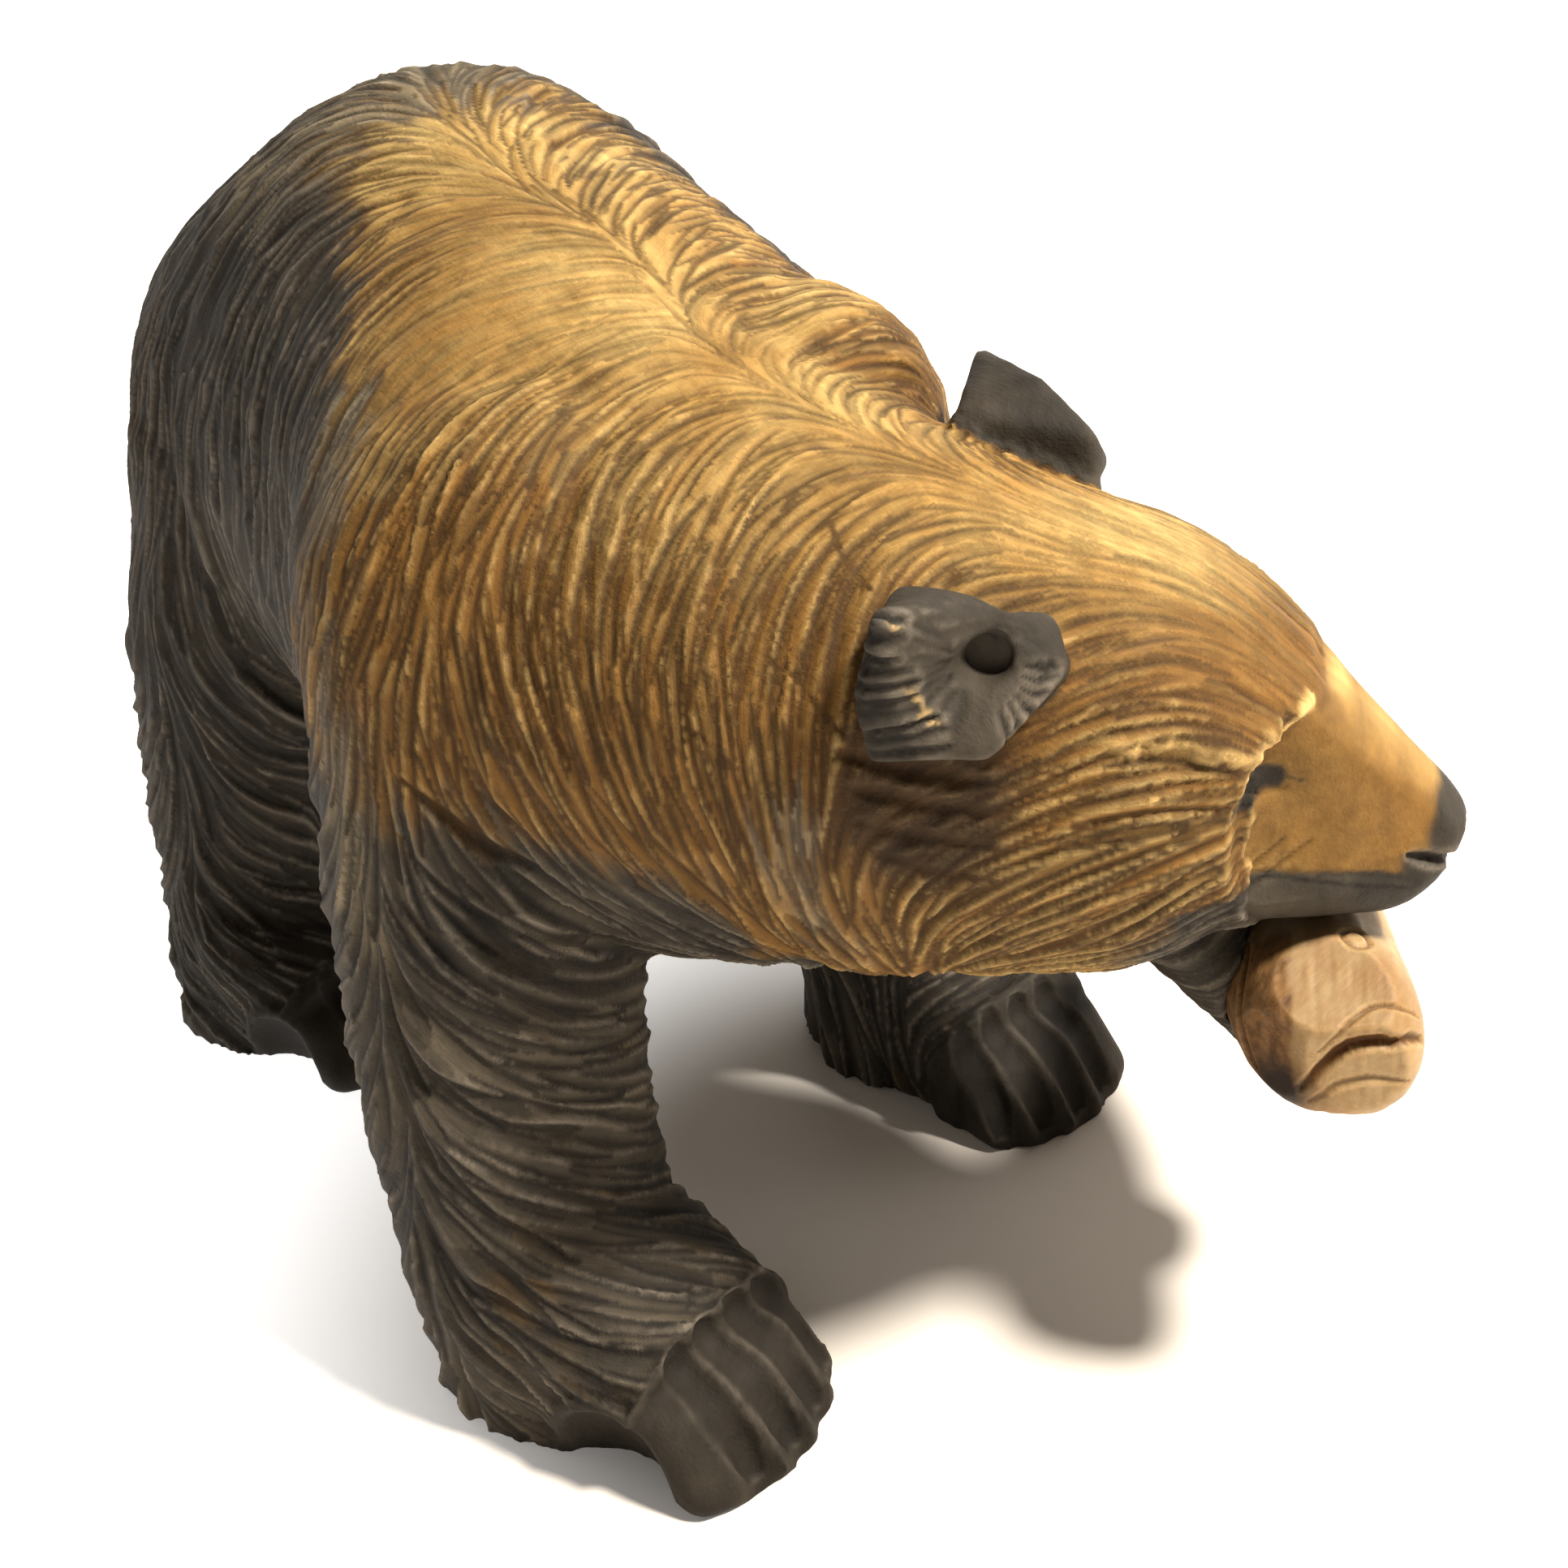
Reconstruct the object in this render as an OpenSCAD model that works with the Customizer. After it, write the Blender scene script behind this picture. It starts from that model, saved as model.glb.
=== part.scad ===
// A carved wooden bear that walks on four legs with its head low and turned to its left,
// holding a salmon crosswise in its mouth.
// +X is forward, +Y is the bear's left and +Z is up. The soles rest on Z = 0. Millimetres.

/* [Bear] */
// Length of the bear from its rump to its nose
bear_length = 380; // [250:5:600]
// How far the head is turned to the bear's left, in degrees
head_turn = 40; // [30:1:44]
// How far the left foreleg is set behind the right one
fore_step = 36; // [20:2:44]
// How far the left hind leg is set behind the right one
hind_step = 8; // [0:2:20]

/* [Head] */
// Reach of each ear beyond the skull
ear_reach = 26; // [20:1:30]
// Width of the hollow in each ear
ear_hollow = 22; // [16:1:26]

/* [Salmon] */
// Length of the salmon from its snout to its tail
salmon_length = 128; // [110:2:150]

/* [Finish] */
// Number of sides of the body's rings
body_sides = 36; // [24:4:48]
// Number of sides of each leg's rings
leg_sides = 24; // [16:4:32]

/* [Hidden] */

// Every shape below is drawn for a bear of this length, and the whole is scaled once.
drawn_length = 380;
// From the drawing's origin to the middle of the finished bear's box.
drawn_middle = [-0.7, -1.6, 0];

honey = "#b98a4b";
charred = "#3a332e";
fish_wood = "#bd8550";

// Larger than the whole bear, for cutting half of space away.
beyond = 500;

// Where the neck meets the shoulders, and where the head meets the neck: x, y and heading.
neck_joint = [72, -2, 10];
head_joint = [112, 17, 34];
// The head's own frame stands here, turned by head_turn.
head_at = [131, 33];
// Heights at which the legs end and the paws begin.
fore_wrist = 44;
hind_ankle = 40;

// Body rings: x, y, z, half width, reach up, reach down, heading, pitch.
body_rings = [
    [-193, 2, 150, 14, 18, 18, 0, 0],
    [-182, 2, 151, 45, 50, 48, 0, 0],
    [-152, 5, 152, 67, 75, 70, 0, 0],
    [-108, 9, 156, 77, 90, 80, 0, 0],
    [-58, 9, 160, 77, 97, 88, 0, 0],
    [-10, 2, 156, 77, 86, 86, 0, 0],
    [34, -6, 149, 80, 78, 77, 0, 0],
    [76, 0, 143, 67, 63, 62, 12, 0],
    [106, 13, 139, 55, 53, 54, 28, 2],
];
// Head rings in the head's frame: forward, z, half width, reach up, reach down, pitch.
head_rings = [
    [0, 134, 49, 46, 47, 4],
    [15, 130, 45, 43, 41, 8],
    [29, 126, 36, 35, 30, 12],
    [42, 120, 26, 25, 23, 17],
    [54, 114, 18, 18, 19, 23],
    [63, 110, 13, 13, 15, 27],
    [67, 109, 9, 9, 10, 30],
];

function sign_power(v, p) = (v < 0 ? -1 : 1) * pow(abs(v), p);

// A point of a Catmull-Rom curve between b and c, for numbers or rows of numbers.
function between(a, b, c, d, t) =
    0.5 * (2 * b + (c - a) * t + (2 * a - 5 * b + 4 * c - d) * t * t
           + (3 * b - a - 3 * c + d) * t * t * t);

// The rows with n - 1 smooth rows added after each.
function smooth_rows(rows, n) = [
    for (i = [0 : len(rows) - 2], k = [0 : n - 1])
        between(rows[max(i - 1, 0)], rows[i], rows[i + 1], rows[min(i + 2, len(rows) - 1)], k / n),
    rows[len(rows) - 1]];

// One upright ring across the heading, leaning forward by the pitch. round_ below 1 squares it.
function upright_ring(r, sides, round_) =
    let (across = [-sin(r[6]), cos(r[6]), 0],
         rise = [cos(r[6]) * sin(r[7]), sin(r[6]) * sin(r[7]), cos(r[7])])
    [for (k = [0 : sides - 1])
        let (a = 360 * (k + 0.5) / sides, c = cos(a), s = sin(a))
        [r[0], r[1], r[2]] + across * r[3] * sign_power(c, round_)
            + rise * (s > 0 ? r[4] : r[5]) * sign_power(s, round_)];

// One level ring: x, y, z, half length along the heading, half width, heading.
function level_ring(r, sides) =
    [for (k = [0 : sides - 1])
        let (a = -360 * (k + 0.5) / sides, c = r[3] * cos(a), s = r[4] * sin(a))
        [r[0] + c * cos(r[5]) - s * sin(r[5]), r[1] + c * sin(r[5]) + s * cos(r[5]), r[2]]];

// A closed skin over rings of equal length.
module skin(rings) {
    m = len(rings[0]);
    last = len(rings) - 1;
    points = [for (ring = rings) each ring];
    walls = [for (i = [0 : last - 1], k = [0 : m - 1])
        let (a = i * m + k, b = i * m + (k + 1) % m)
        each [[b + m, b, a], [a + m, b + m, a]]];
    caps = [[for (k = [0 : m - 1]) k], [for (k = [m - 1 : -1 : 0]) last * m + k]];
    polyhedron(points = points, faces = concat(walls, caps), convexity = 6);
}

module upright_skin(rings, sides, n, round_ = 1) {
    skin([for (r = smooth_rows(rings, n)) upright_ring(r, sides, round_)]);
}

module level_skin(rings, sides, n) {
    skin([for (r = smooth_rows(rings, n)) level_ring(r, sides)]);
}

// Stands its children in the head's frame.
module in_head() {
    translate([head_at[0], head_at[1], 0]) rotate([0, 0, head_turn]) children();
}

// The half of space ahead of a joint.
module ahead_of(joint) {
    translate([joint[0], joint[1], -beyond / 2]) rotate([0, 0, joint[2]])
        translate([0, -beyond, 0]) cube([beyond * 2, beyond * 2, beyond * 2]);
}

// Everything above or below a height.
module above(z) {
    translate([-beyond, -beyond, z]) cube([beyond * 2, beyond * 2, beyond]);
}

module below(z) {
    translate([-beyond, -beyond, z - beyond]) cube([beyond * 2, beyond * 2, beyond]);
}

function head_row(r) = [
    head_at[0] + r[0] * cos(head_turn), head_at[1] + r[0] * sin(head_turn), r[1],
    r[2], r[3], r[4], head_turn, r[5]];

// The whole body from rump to muzzle, as one smooth mass that the regions are cut from.
module body_mass() {
    upright_skin(concat(body_rings, [for (r = head_rings) head_row(r)]), body_sides, 3, 0.94);
}

// Right leg rings: x, y, z, half length, half width, heading.
fore_rings = [
    [38, -36, 212, 20, 14, 0],
    [38, -40, 205, 34, 25, 0],
    [40, -45, 186, 42, 34, 0],
    [39, -54, 150, 42, 35, 0],
    [41, -62, 115, 37, 34, 2],
    [48, -69, 80, 34, 35, 6],
    [56, -75, 50, 33, 33, 10],
    [66, -78, 30, 34, 32, 14],
    [72, -78, 0, 36, 31, 15],
];
hind_rings = [
    [-112, -26, 205, 18, 14, 0],
    [-112, -29, 197, 34, 24, 0],
    [-114, -35, 176, 46, 33, 0],
    [-118, -41, 148, 53, 33, 0],
    [-126, -52, 115, 49, 31, 2],
    [-130, -60, 80, 40, 29, 6],
    [-128, -65, 50, 36, 30, 10],
    [-121, -68, 26, 40, 32, 12],
    [-116, -70, 0, 42, 34, 12],
];
// A left leg mirrors the right one about the body, and swings back and inwards towards its paw.
// The sideways shifts are at the shoulder or hip, and at the ground.
left_fore_shift = [-11, -24];
left_hind_shift = [16, -8];
leg_top = 205;

function left_rings(rings, step, shift) = [
    for (r = rings)
        let (low = max(0, 1 - r[2] / leg_top))
        [r[0] - step * low, -r[1] + shift[0] + (shift[1] - shift[0]) * low, r[2],
         r[3], r[4], -r[5]]];

module leg_mass(rings) {
    level_skin(rings, leg_sides, 2);
}

// One toe of a paw's front, from its knuckle down to the claw.
module toe(width, height) {
    hull() {
        translate([-20, 0, height * 0.8]) sphere(d = width, $fn = 12);
        translate([0, 0, height * 0.55]) sphere(d = width, $fn = 12);
        translate([10, 0, width * 0.3]) sphere(d = width, $fn = 12);
        translate([-20, 0, width * 0.3]) sphere(d = width, $fn = 12);
    }
}

// The gouge that hollows the front of a toe, and leaves sharp ridges between the toes.
module toe_flute(width, height) {
    hull() {
        translate([width * 1.12, 0, height * 0.65]) sphere(d = width * 1.12, $fn = 20);
        translate([width * 2.45, 0, -width]) sphere(d = width * 1.12, $fn = 20);
    }
}

// Where the toes stand: how far ahead, and how far to the side, for toe numbers -2 to 2.
function toe_at(side, length, width) = [length - 15 - side * side * 1.7, side * width * 0.165, 0];

// A paw whose heel stands at the origin and whose five toes point along +X. The flutes cut
// toes -1 to 2 counted towards the inner side, which is +Y times inner.
module paw(length, width, height, inner) {
    difference() {
        union() {
            upright_skin([
                [-width * 0.54, 0, height * 0.3, width * 0.18, height * 0.3, height * 0.4, 0, 0],
                [-width * 0.44, 0, height * 0.4, width * 0.38, height * 0.6, height * 0.6, 0, 0],
                [-width * 0.1, 0, height * 0.45, width * 0.5, height * 0.8, height * 0.7, 0, 0],
                [length * 0.3, 0, height * 0.35, width * 0.5, height * 0.6, height * 0.6, 0, 0],
                [length * 0.6, 0, height * 0.25, width * 0.48, height * 0.42, height * 0.5, 0, 0],
            ], 20, 2, 0.8);
            hull() for (side = [-2 : 2])
                translate(toe_at(side, length, width)) toe(width * 0.2, height * 0.62);
        }
        for (side = [-1 : 2])
            translate(toe_at(side * inner, length, width)) rotate([0, 0, side * inner * 6])
                toe_flute(width * 0.175, height * 0.62);
    }
}

// The scoop between the heel and the toes, on a paw's outer side.
module arch(length, width, inner) {
    translate([length * 0.5, -inner * width * 0.54, -1]) scale([16, 12, 24]) sphere(r = 1, $fn = 28);
}

// Each paw's heel: x, y and the way that its toes point.
right_fore_heel = [79, -75, 15];
left_fore_heel = [80 - fore_step, 54, 2];
right_hind_heel = [-106, -70, 12];
left_hind_heel = [-106 - hind_step, 62, -10];

// Fore and hind paws: length, width and height.
fore_paw = [58, 56, 44];
hind_paw = [58, 58, 40];

module at_heel(heel) {
    translate([heel[0], heel[1], 0]) rotate([0, 0, heel[2]]) children();
}

// The right ear in the head's frame: a faceted block that is highest at its rear edge, with a hollow
// and a round hole in its outer face.
ear_corners = [
    [-26, -62, 187], [-13, -48, 185], [-2, -38, 176], [0, -43, 169], [-11, -57, 161], [-29, -60, 162],
    [-30, -62, 173], [-27, -38, 181], [-29, -38, 161], [-2, -36, 166]];
hollow_corners = [[-19, -66, 180], [-22, -67, 169], [-12, -61, 168], [-10, -56, 178], [-13, -56, 174]];
hole_ends = [[-12, -58, 175], [-11, -43, 174]];
// The ear is drawn with this reach, and stretched sideways from the skull.
skull_side = -36;
drawn_reach = 26;

module ear_mass() {
    translate([0, skull_side, 0]) scale([1, ear_reach / drawn_reach, 1]) translate([0, -skull_side, 0])
        difference() {
            hull() for (p = ear_corners) translate(p) sphere(r = 1.6, $fn = 12);
            hull() for (p = hollow_corners) translate(p) sphere(d = ear_hollow * 0.4, $fn = 16);
            hull() for (p = hole_ends) translate(p) sphere(d = 9, $fn = 20);
        }
}

module left_of_head() {
    mirror([0, 1, 0]) children();
}

// Salmon rings in the head's frame: forward, side, z, half width, reach up, reach down, heading, pitch.
// It lies across the mouth with its blunt head low on the bear's right.
tail_end = salmon_length - 38;
salmon_rings = [
    [46, -36, 78, 6, 6, 5, 90, 0],
    [46, -33, 80, 12, 12, 11, 90, 0],
    [45, -26, 82, 16, 15, 15, 90, 0],
    [44, -14, 82, 18, 16, 17, 90, 0],
    [42, 4, 82, 18, 15, 17, 90, 0],
    [39, tail_end * 0.3, 82, 16, 14, 15, 95, 0],
    [34, tail_end * 0.52, 82, 12, 12, 12, 104, 0],
    [27, tail_end * 0.69, 82, 7, 9, 9, 114, 0],
    [22, tail_end * 0.77, 82, 5, 12, 13, 120, 0],
    [14, tail_end * 0.89, 82, 3, 24, 25, 125, 0],
    [12, tail_end * 0.93, 82, 2, 25, 26, 125, 0],
];

module salmon_mass() {
    upright_skin(salmon_rings, 20, 3);
}

// Lower jaw rings in the head's frame, from the throat round under the salmon.
jaw_rings = [
    [10, 0, 104, 24, 12, 12, 0, 10],
    [22, 0, 91, 20, 12, 12, 0, 40],
    [33, 0, 74, 17, 12, 10, 0, 50],
    [41, 0, 63, 15, 10, 8, 0, 20],
    [50, 0, 61, 12, 8, 7, 0, -5],
    [55, 0, 62, 7, 5, 5, 0, -10],
];

module jaw_mass() {
    upright_skin(jaw_rings, 20, 2);
}

// The nose pad is the blunt top of the muzzle's end.
module nose_region() {
    translate([62, -beyond / 2, 110]) rotate([0, 27, 0]) translate([0, 0, -3]) cube([beyond, beyond, beyond]);
}

// Scales the drawing to bear_length, with the middle of its box over the origin.
module finished() {
    k = bear_length / drawn_length;
    resize([0, 0, 0]) scale([k, k, k]) translate(-drawn_middle) children();
}

module torso() {
    color(honey) finished() difference() {
        body_mass();
        ahead_of(neck_joint);
    }
}

module tail() {
    color(charred) finished() difference() {
        upright_skin([
            [-198, 0, 158, 6, 8, 10, 0, 0],
            [-194, 0, 160, 12, 14, 16, 0, 0],
            [-182, 0, 164, 15, 18, 18, 0, 0],
            [-168, 0, 166, 14, 16, 16, 0, 0],
        ], 16, 2);
        body_mass();
    }
}

module neck() {
    color(honey) finished() difference() {
        intersection() {
            body_mass();
            ahead_of(neck_joint);
        }
        ahead_of(head_joint);
    }
}

module head() {
    color(honey) finished() difference() {
        intersection() {
            body_mass();
            ahead_of(head_joint);
        }
        in_head() nose_region();
        in_head() salmon_mass();
    }
}

module nose() {
    color(charred) finished() intersection() {
        body_mass();
        in_head() nose_region();
        ahead_of(head_joint);
    }
}

module lower_jaw() {
    color(charred) finished() difference() {
        in_head() jaw_mass();
        in_head() salmon_mass();
        body_mass();
    }
}

module right_ear() {
    color(charred) finished() difference() {
        in_head() ear_mass();
        body_mass();
    }
}

module left_ear() {
    color(charred) finished() difference() {
        in_head() translate([1, -7, 8]) left_of_head() ear_mass();
        body_mass();
    }
}

// A leg from the body down to the top of its paw.
module leg(rings, ankle) {
    color(charred) finished() difference() {
        leg_mass(rings);
        body_mass();
        below(ankle);
    }
}

// A paw and the foot of its leg, from the ground up to the ankle.
module foot(rings, ankle, heel, size, inner) {
    color(charred) finished() difference() {
        union() {
            leg_mass(rings);
            at_heel(heel) paw(size[0], size[1], size[2], inner);
        }
        at_heel(heel) arch(size[0], size[1], inner);
        below(0);
        above(ankle);
    }
}

module right_foreleg() {
    leg(fore_rings, fore_wrist);
}

module left_foreleg() {
    leg(left_rings(fore_rings, fore_step, left_fore_shift), fore_wrist);
}

module right_forepaw() {
    foot(fore_rings, fore_wrist, right_fore_heel, fore_paw, 1);
}

module left_forepaw() {
    foot(left_rings(fore_rings, fore_step, left_fore_shift), fore_wrist, left_fore_heel,
         fore_paw, -1);
}

module right_hind_leg() {
    leg(hind_rings, hind_ankle);
}

module left_hind_leg() {
    leg(left_rings(hind_rings, hind_step, left_hind_shift), hind_ankle);
}

module right_hind_paw() {
    foot(hind_rings, hind_ankle, right_hind_heel, hind_paw, 1);
}

module left_hind_paw() {
    foot(left_rings(hind_rings, hind_step, left_hind_shift), hind_ankle, left_hind_heel,
         hind_paw, -1);
}

module salmon() {
    color(fish_wood) finished() in_head() salmon_mass();
}

torso();
tail();
neck();
head();
nose();
lower_jaw();
right_ear();
left_ear();
right_foreleg();
left_foreleg();
right_forepaw();
left_forepaw();
right_hind_leg();
left_hind_leg();
right_hind_paw();
left_hind_paw();
salmon();
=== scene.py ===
import math

import bmesh
import bpy
import numpy as np
from mathutils import Matrix, Vector
from mathutils.bvhtree import BVHTree
from mathutils.kdtree import KDTree


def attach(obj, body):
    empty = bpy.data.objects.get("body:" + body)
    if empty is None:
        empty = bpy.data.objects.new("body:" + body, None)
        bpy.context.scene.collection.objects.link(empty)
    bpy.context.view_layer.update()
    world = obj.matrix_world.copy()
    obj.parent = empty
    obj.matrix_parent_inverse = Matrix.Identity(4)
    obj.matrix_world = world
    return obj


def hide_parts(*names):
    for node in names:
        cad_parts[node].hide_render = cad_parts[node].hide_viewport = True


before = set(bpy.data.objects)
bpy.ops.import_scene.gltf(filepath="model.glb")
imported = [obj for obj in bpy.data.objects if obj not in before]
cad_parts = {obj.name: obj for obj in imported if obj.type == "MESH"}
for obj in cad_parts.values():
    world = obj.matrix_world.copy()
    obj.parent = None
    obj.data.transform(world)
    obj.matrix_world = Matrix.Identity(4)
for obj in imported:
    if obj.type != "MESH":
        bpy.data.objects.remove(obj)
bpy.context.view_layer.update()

# The whole bear is shaped in millimetres and turned into metres at the end.
MM = 0.001
SEED = 7
# Voxel sizes of the coarse surfaces, which are then subdivided once.
BEAR_VOXEL = 1.55
SALMON_VOXEL = 1.0

SLOTS = {
    "torso": "honey_wood", "tail": "charred_wood", "neck": "honey_wood", "head": "honey_wood",
    "nose": "charred_wood", "lower_jaw": "charred_wood", "right_ear": "charred_wood",
    "left_ear": "charred_wood", "right_foreleg": "charred_wood", "left_foreleg": "charred_wood",
    "right_forepaw": "charred_wood", "left_forepaw": "charred_wood",
    "right_hind_leg": "charred_wood", "left_hind_leg": "charred_wood",
    "right_hind_paw": "charred_wood", "left_hind_paw": "charred_wood",
}
BEAR_NODES = list(SLOTS)

# Local frames on the bear: where each stands on the floor, and its heading in degrees.
PLACES = {
    "body": (0.7, 1.6, 0.0),
    "neck": (92.7, 7.6, 22.0),
    "head": (131.7, 34.6, 40.0),
}


# ---------------------------------------------------------------- camera, floor and light

CAMERA_AT = (351.8, -179.6, 299.3)
CAMERA_YAW, CAMERA_PITCH, CAMERA_ROLL = 147.3, 29.1, -7.9
CAMERA_REACH = 1.1055


def add_camera():
    yaw, pitch, roll = (math.radians(a) for a in (CAMERA_YAW, CAMERA_PITCH, CAMERA_ROLL))
    ahead = Vector((math.cos(yaw) * math.cos(pitch), math.sin(yaw) * math.cos(pitch), -math.sin(pitch)))
    level = ahead.cross(Vector((0, 0, 1))).normalized()
    upright = level.cross(ahead)
    right = level * math.cos(roll) + upright * math.sin(roll)
    up = upright * math.cos(roll) - level * math.sin(roll)
    data = bpy.data.cameras.new("camera")
    data.sensor_width = 36.0
    data.lens = 36.0 * CAMERA_REACH
    camera = bpy.data.objects.new("camera", data)
    turn = Matrix((right, up, -ahead)).transposed()
    camera.matrix_world = Matrix.Translation(Vector(CAMERA_AT) * MM) @ turn.to_4x4()
    bpy.context.scene.collection.objects.link(camera)
    bpy.context.scene.camera = camera


def add_area_light(name, at, aim, size, watts, colour):
    data = bpy.data.lights.new(name, "AREA")
    data.shape = "DISK"
    data.size = size
    data.energy = watts
    data.color = colour
    light = bpy.data.objects.new(name, data)
    light.location = at
    light.rotation_euler = (Vector(aim) - Vector(at)).to_track_quat("-Z", "Y").to_euler()
    bpy.context.scene.collection.objects.link(light)


# The floor and the walls: how far they reach, and the round patch under the bear that doesn't shine.
FLOOR_FAR, FLOOR_NEAR, FLOOR_HALF, WALL_TOP = -5.0, 3.0, 5.0, 5.0
DULL_MIDDLE, DULL_RADIUS, SHINE_RADIUS, SHINE = (0.10, 0.01, 0.0), 0.075, 0.19, 0.95


def floor_material():
    """Pale and matt. It shines by itself away from the bear, so that it is white all round."""
    material = bpy.data.materials.new("pale_floor")
    material.use_nodes = True
    tree = material.node_tree
    shader = tree.nodes["Principled BSDF"]
    shader.inputs["Base Color"].default_value = (0.80, 0.74, 0.66, 1)
    shader.inputs["Roughness"].default_value = 0.8
    shader.inputs["Specular IOR Level"].default_value = 0.1
    shader.inputs["Emission Color"].default_value = (1, 1, 1, 1)
    where = tree.nodes.new("ShaderNodeTexCoord")
    away = tree.nodes.new("ShaderNodeVectorMath")
    away.operation = "DISTANCE"
    away.inputs[1].default_value = DULL_MIDDLE
    rise = tree.nodes.new("ShaderNodeMapRange")
    rise.interpolation_type = "SMOOTHSTEP"
    rise.inputs["From Min"].default_value = DULL_RADIUS
    rise.inputs["From Max"].default_value = SHINE_RADIUS
    rise.inputs["To Max"].default_value = SHINE
    tree.links.new(where.outputs["Object"], away.inputs[0])
    tree.links.new(away.outputs["Value"], rise.inputs["Value"])
    tree.links.new(rise.outputs[0], shader.inputs["Emission Strength"])
    return material


def stage_object(name, points, faces, material):
    mesh = bpy.data.meshes.new(name)
    mesh.from_pydata(points, [], faces)
    mesh.materials.append(material)
    ob = bpy.data.objects.new(name, mesh)
    bpy.context.scene.collection.objects.link(ob)
    return ob


def add_stage():
    """A white floor with walls far from the bear, a dim warm world and two lamps."""
    far, near, half, top = FLOOR_FAR, FLOOR_NEAR, FLOOR_HALF, WALL_TOP
    ground = [(far, -half, 0), (near, -half, 0), (near, half, 0), (far, half, 0)]
    above = [(far, half, top), (far, -half, top), (near, half, top), (near, -half, top)]
    material = floor_material()
    stage_object("floor", ground + above, [(0, 1, 2, 3), (0, 3, 4, 5), (3, 2, 6, 4)], material)
    # the walls behind the camera show from other sides, and cast no light on the bear
    backdrop = stage_object("backdrop", ground + above, [(1, 2, 6, 7), (0, 1, 7, 5)], material)
    backdrop.visible_diffuse = False
    backdrop.visible_glossy = False
    backdrop.visible_shadow = False
    world = bpy.data.worlds.new("studio")
    world.use_nodes = True
    sky = world.node_tree.nodes["Background"]
    sky.inputs["Color"].default_value = (1.0, 0.88, 0.74, 1)
    sky.inputs["Strength"].default_value = 0.10
    bpy.context.scene.world = world
    bpy.context.scene.view_settings.view_transform = "Standard"
    middle = (0.03, 0.0, 0.1)
    add_area_light("key", (0.74, 0.54, 1.30), middle, 0.24, 56, (1.0, 0.94, 0.86))
    add_area_light("fill", (0.75, -0.95, 0.75), middle, 0.9, 1.0, (1.0, 0.97, 0.94))


# ---------------------------------------------------------------- arrays and meshes


def placed(place, points):
    """Points given as (forward, left, up) in a local frame, in the bear's frame."""
    x, y, heading = PLACES[place]
    p = np.atleast_2d(np.asarray(points, float))
    c, s = math.cos(math.radians(heading)), math.sin(math.radians(heading))
    return np.stack([x + p[:, 0] * c - p[:, 1] * s, y + p[:, 0] * s + p[:, 1] * c, p[:, 2]], 1)


def in_place(place, points):
    """Points of the bear's frame as (forward, left, up) in a local frame."""
    x, y, heading = PLACES[place]
    c, s = math.cos(math.radians(heading)), math.sin(math.radians(heading))
    dx, dy = points[:, 0] - x, points[:, 1] - y
    return np.stack([dx * c + dy * s, -dx * s + dy * c, points[:, 2]], 1)


def unit(v):
    return v / np.maximum(np.linalg.norm(v, axis=-1, keepdims=True), 1e-9)


def smoothstep(low, high, v):
    t = np.clip((v - low) / (high - low), 0, 1)
    return t * t * (3 - 2 * t)


def read(items, key, kind, width=1):
    """One property of every item, as a row of numbers, or as one row for each item."""
    out = np.empty(len(items) * width, kind)
    items.foreach_get(key, out)
    return out if width == 1 else out.reshape(-1, width)


def mesh_points(mesh):
    return read(mesh.vertices, "co", np.float32, 3).astype(float)


def set_points(mesh, points):
    mesh.vertices.foreach_set("co", points.astype(np.float32).ravel())
    mesh.update()


def mesh_normals(mesh):
    return read(mesh.vertex_normals, "vector", np.float32, 3).astype(float)


def mesh_quads(mesh):
    return read(mesh.loops, "vertex_index", np.int32).reshape(-1, 4)


def mesh_edges(mesh):
    return read(mesh.edges, "vertices", np.int32, 2)


def face_nodes(mesh):
    """The CAD node that each face belongs to, as its place in BEAR_NODES."""
    return read(mesh.attributes["node"].data, "value", np.int32)


def set_face_nodes(mesh, nodes):
    attribute = mesh.attributes.new("node", "INT", "FACE")
    attribute.data.foreach_set("value", np.asarray(nodes, np.int32))


def array_mesh(name, points, quads, triangles=None):
    """A mesh from arrays of points, quads and triangles."""
    mesh = bpy.data.meshes.new(name)
    corners = quads.ravel()
    sizes = np.full(len(quads), 4)
    if triangles is not None:
        corners = np.concatenate([corners, triangles.ravel()])
        sizes = np.concatenate([sizes, np.full(len(triangles), 3)])
    mesh.vertices.add(len(points))
    mesh.vertices.foreach_set("co", points.astype(np.float32).ravel())
    mesh.loops.add(len(corners))
    mesh.loops.foreach_set("vertex_index", corners.astype(np.int32))
    mesh.polygons.add(len(sizes))
    mesh.polygons.foreach_set("loop_start", (np.cumsum(sizes) - sizes).astype(np.int32))
    mesh.update(calc_edges=True)
    mesh.polygons.foreach_set("use_smooth", np.ones(len(sizes), bool))
    return mesh


class Neighbours:
    """Averages values over each vertex's neighbours."""

    def __init__(self, edges, count):
        a = np.concatenate([edges[:, 0], edges[:, 1]])
        b = np.concatenate([edges[:, 1], edges[:, 0]])
        order = np.argsort(a, kind="stable")
        self.other = b[order]
        self.starts = np.searchsorted(a[order], np.arange(count))
        self.count = np.maximum(np.diff(np.append(self.starts, len(a))), 1)

    def mean(self, values, rounds=1):
        for _ in range(rounds):
            total = np.add.reduceat(values[self.other], self.starts, axis=0)
            values = total / (self.count[:, None] if values.ndim == 2 else self.count)
        return values

    def settled(self, points, weight, rounds):
        """Points drawn towards the middle of their neighbours, as far as their weights say."""
        for _ in range(rounds):
            points = points + (0.7 * weight)[:, None] * (self.mean(points) - points)
        return points


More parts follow.
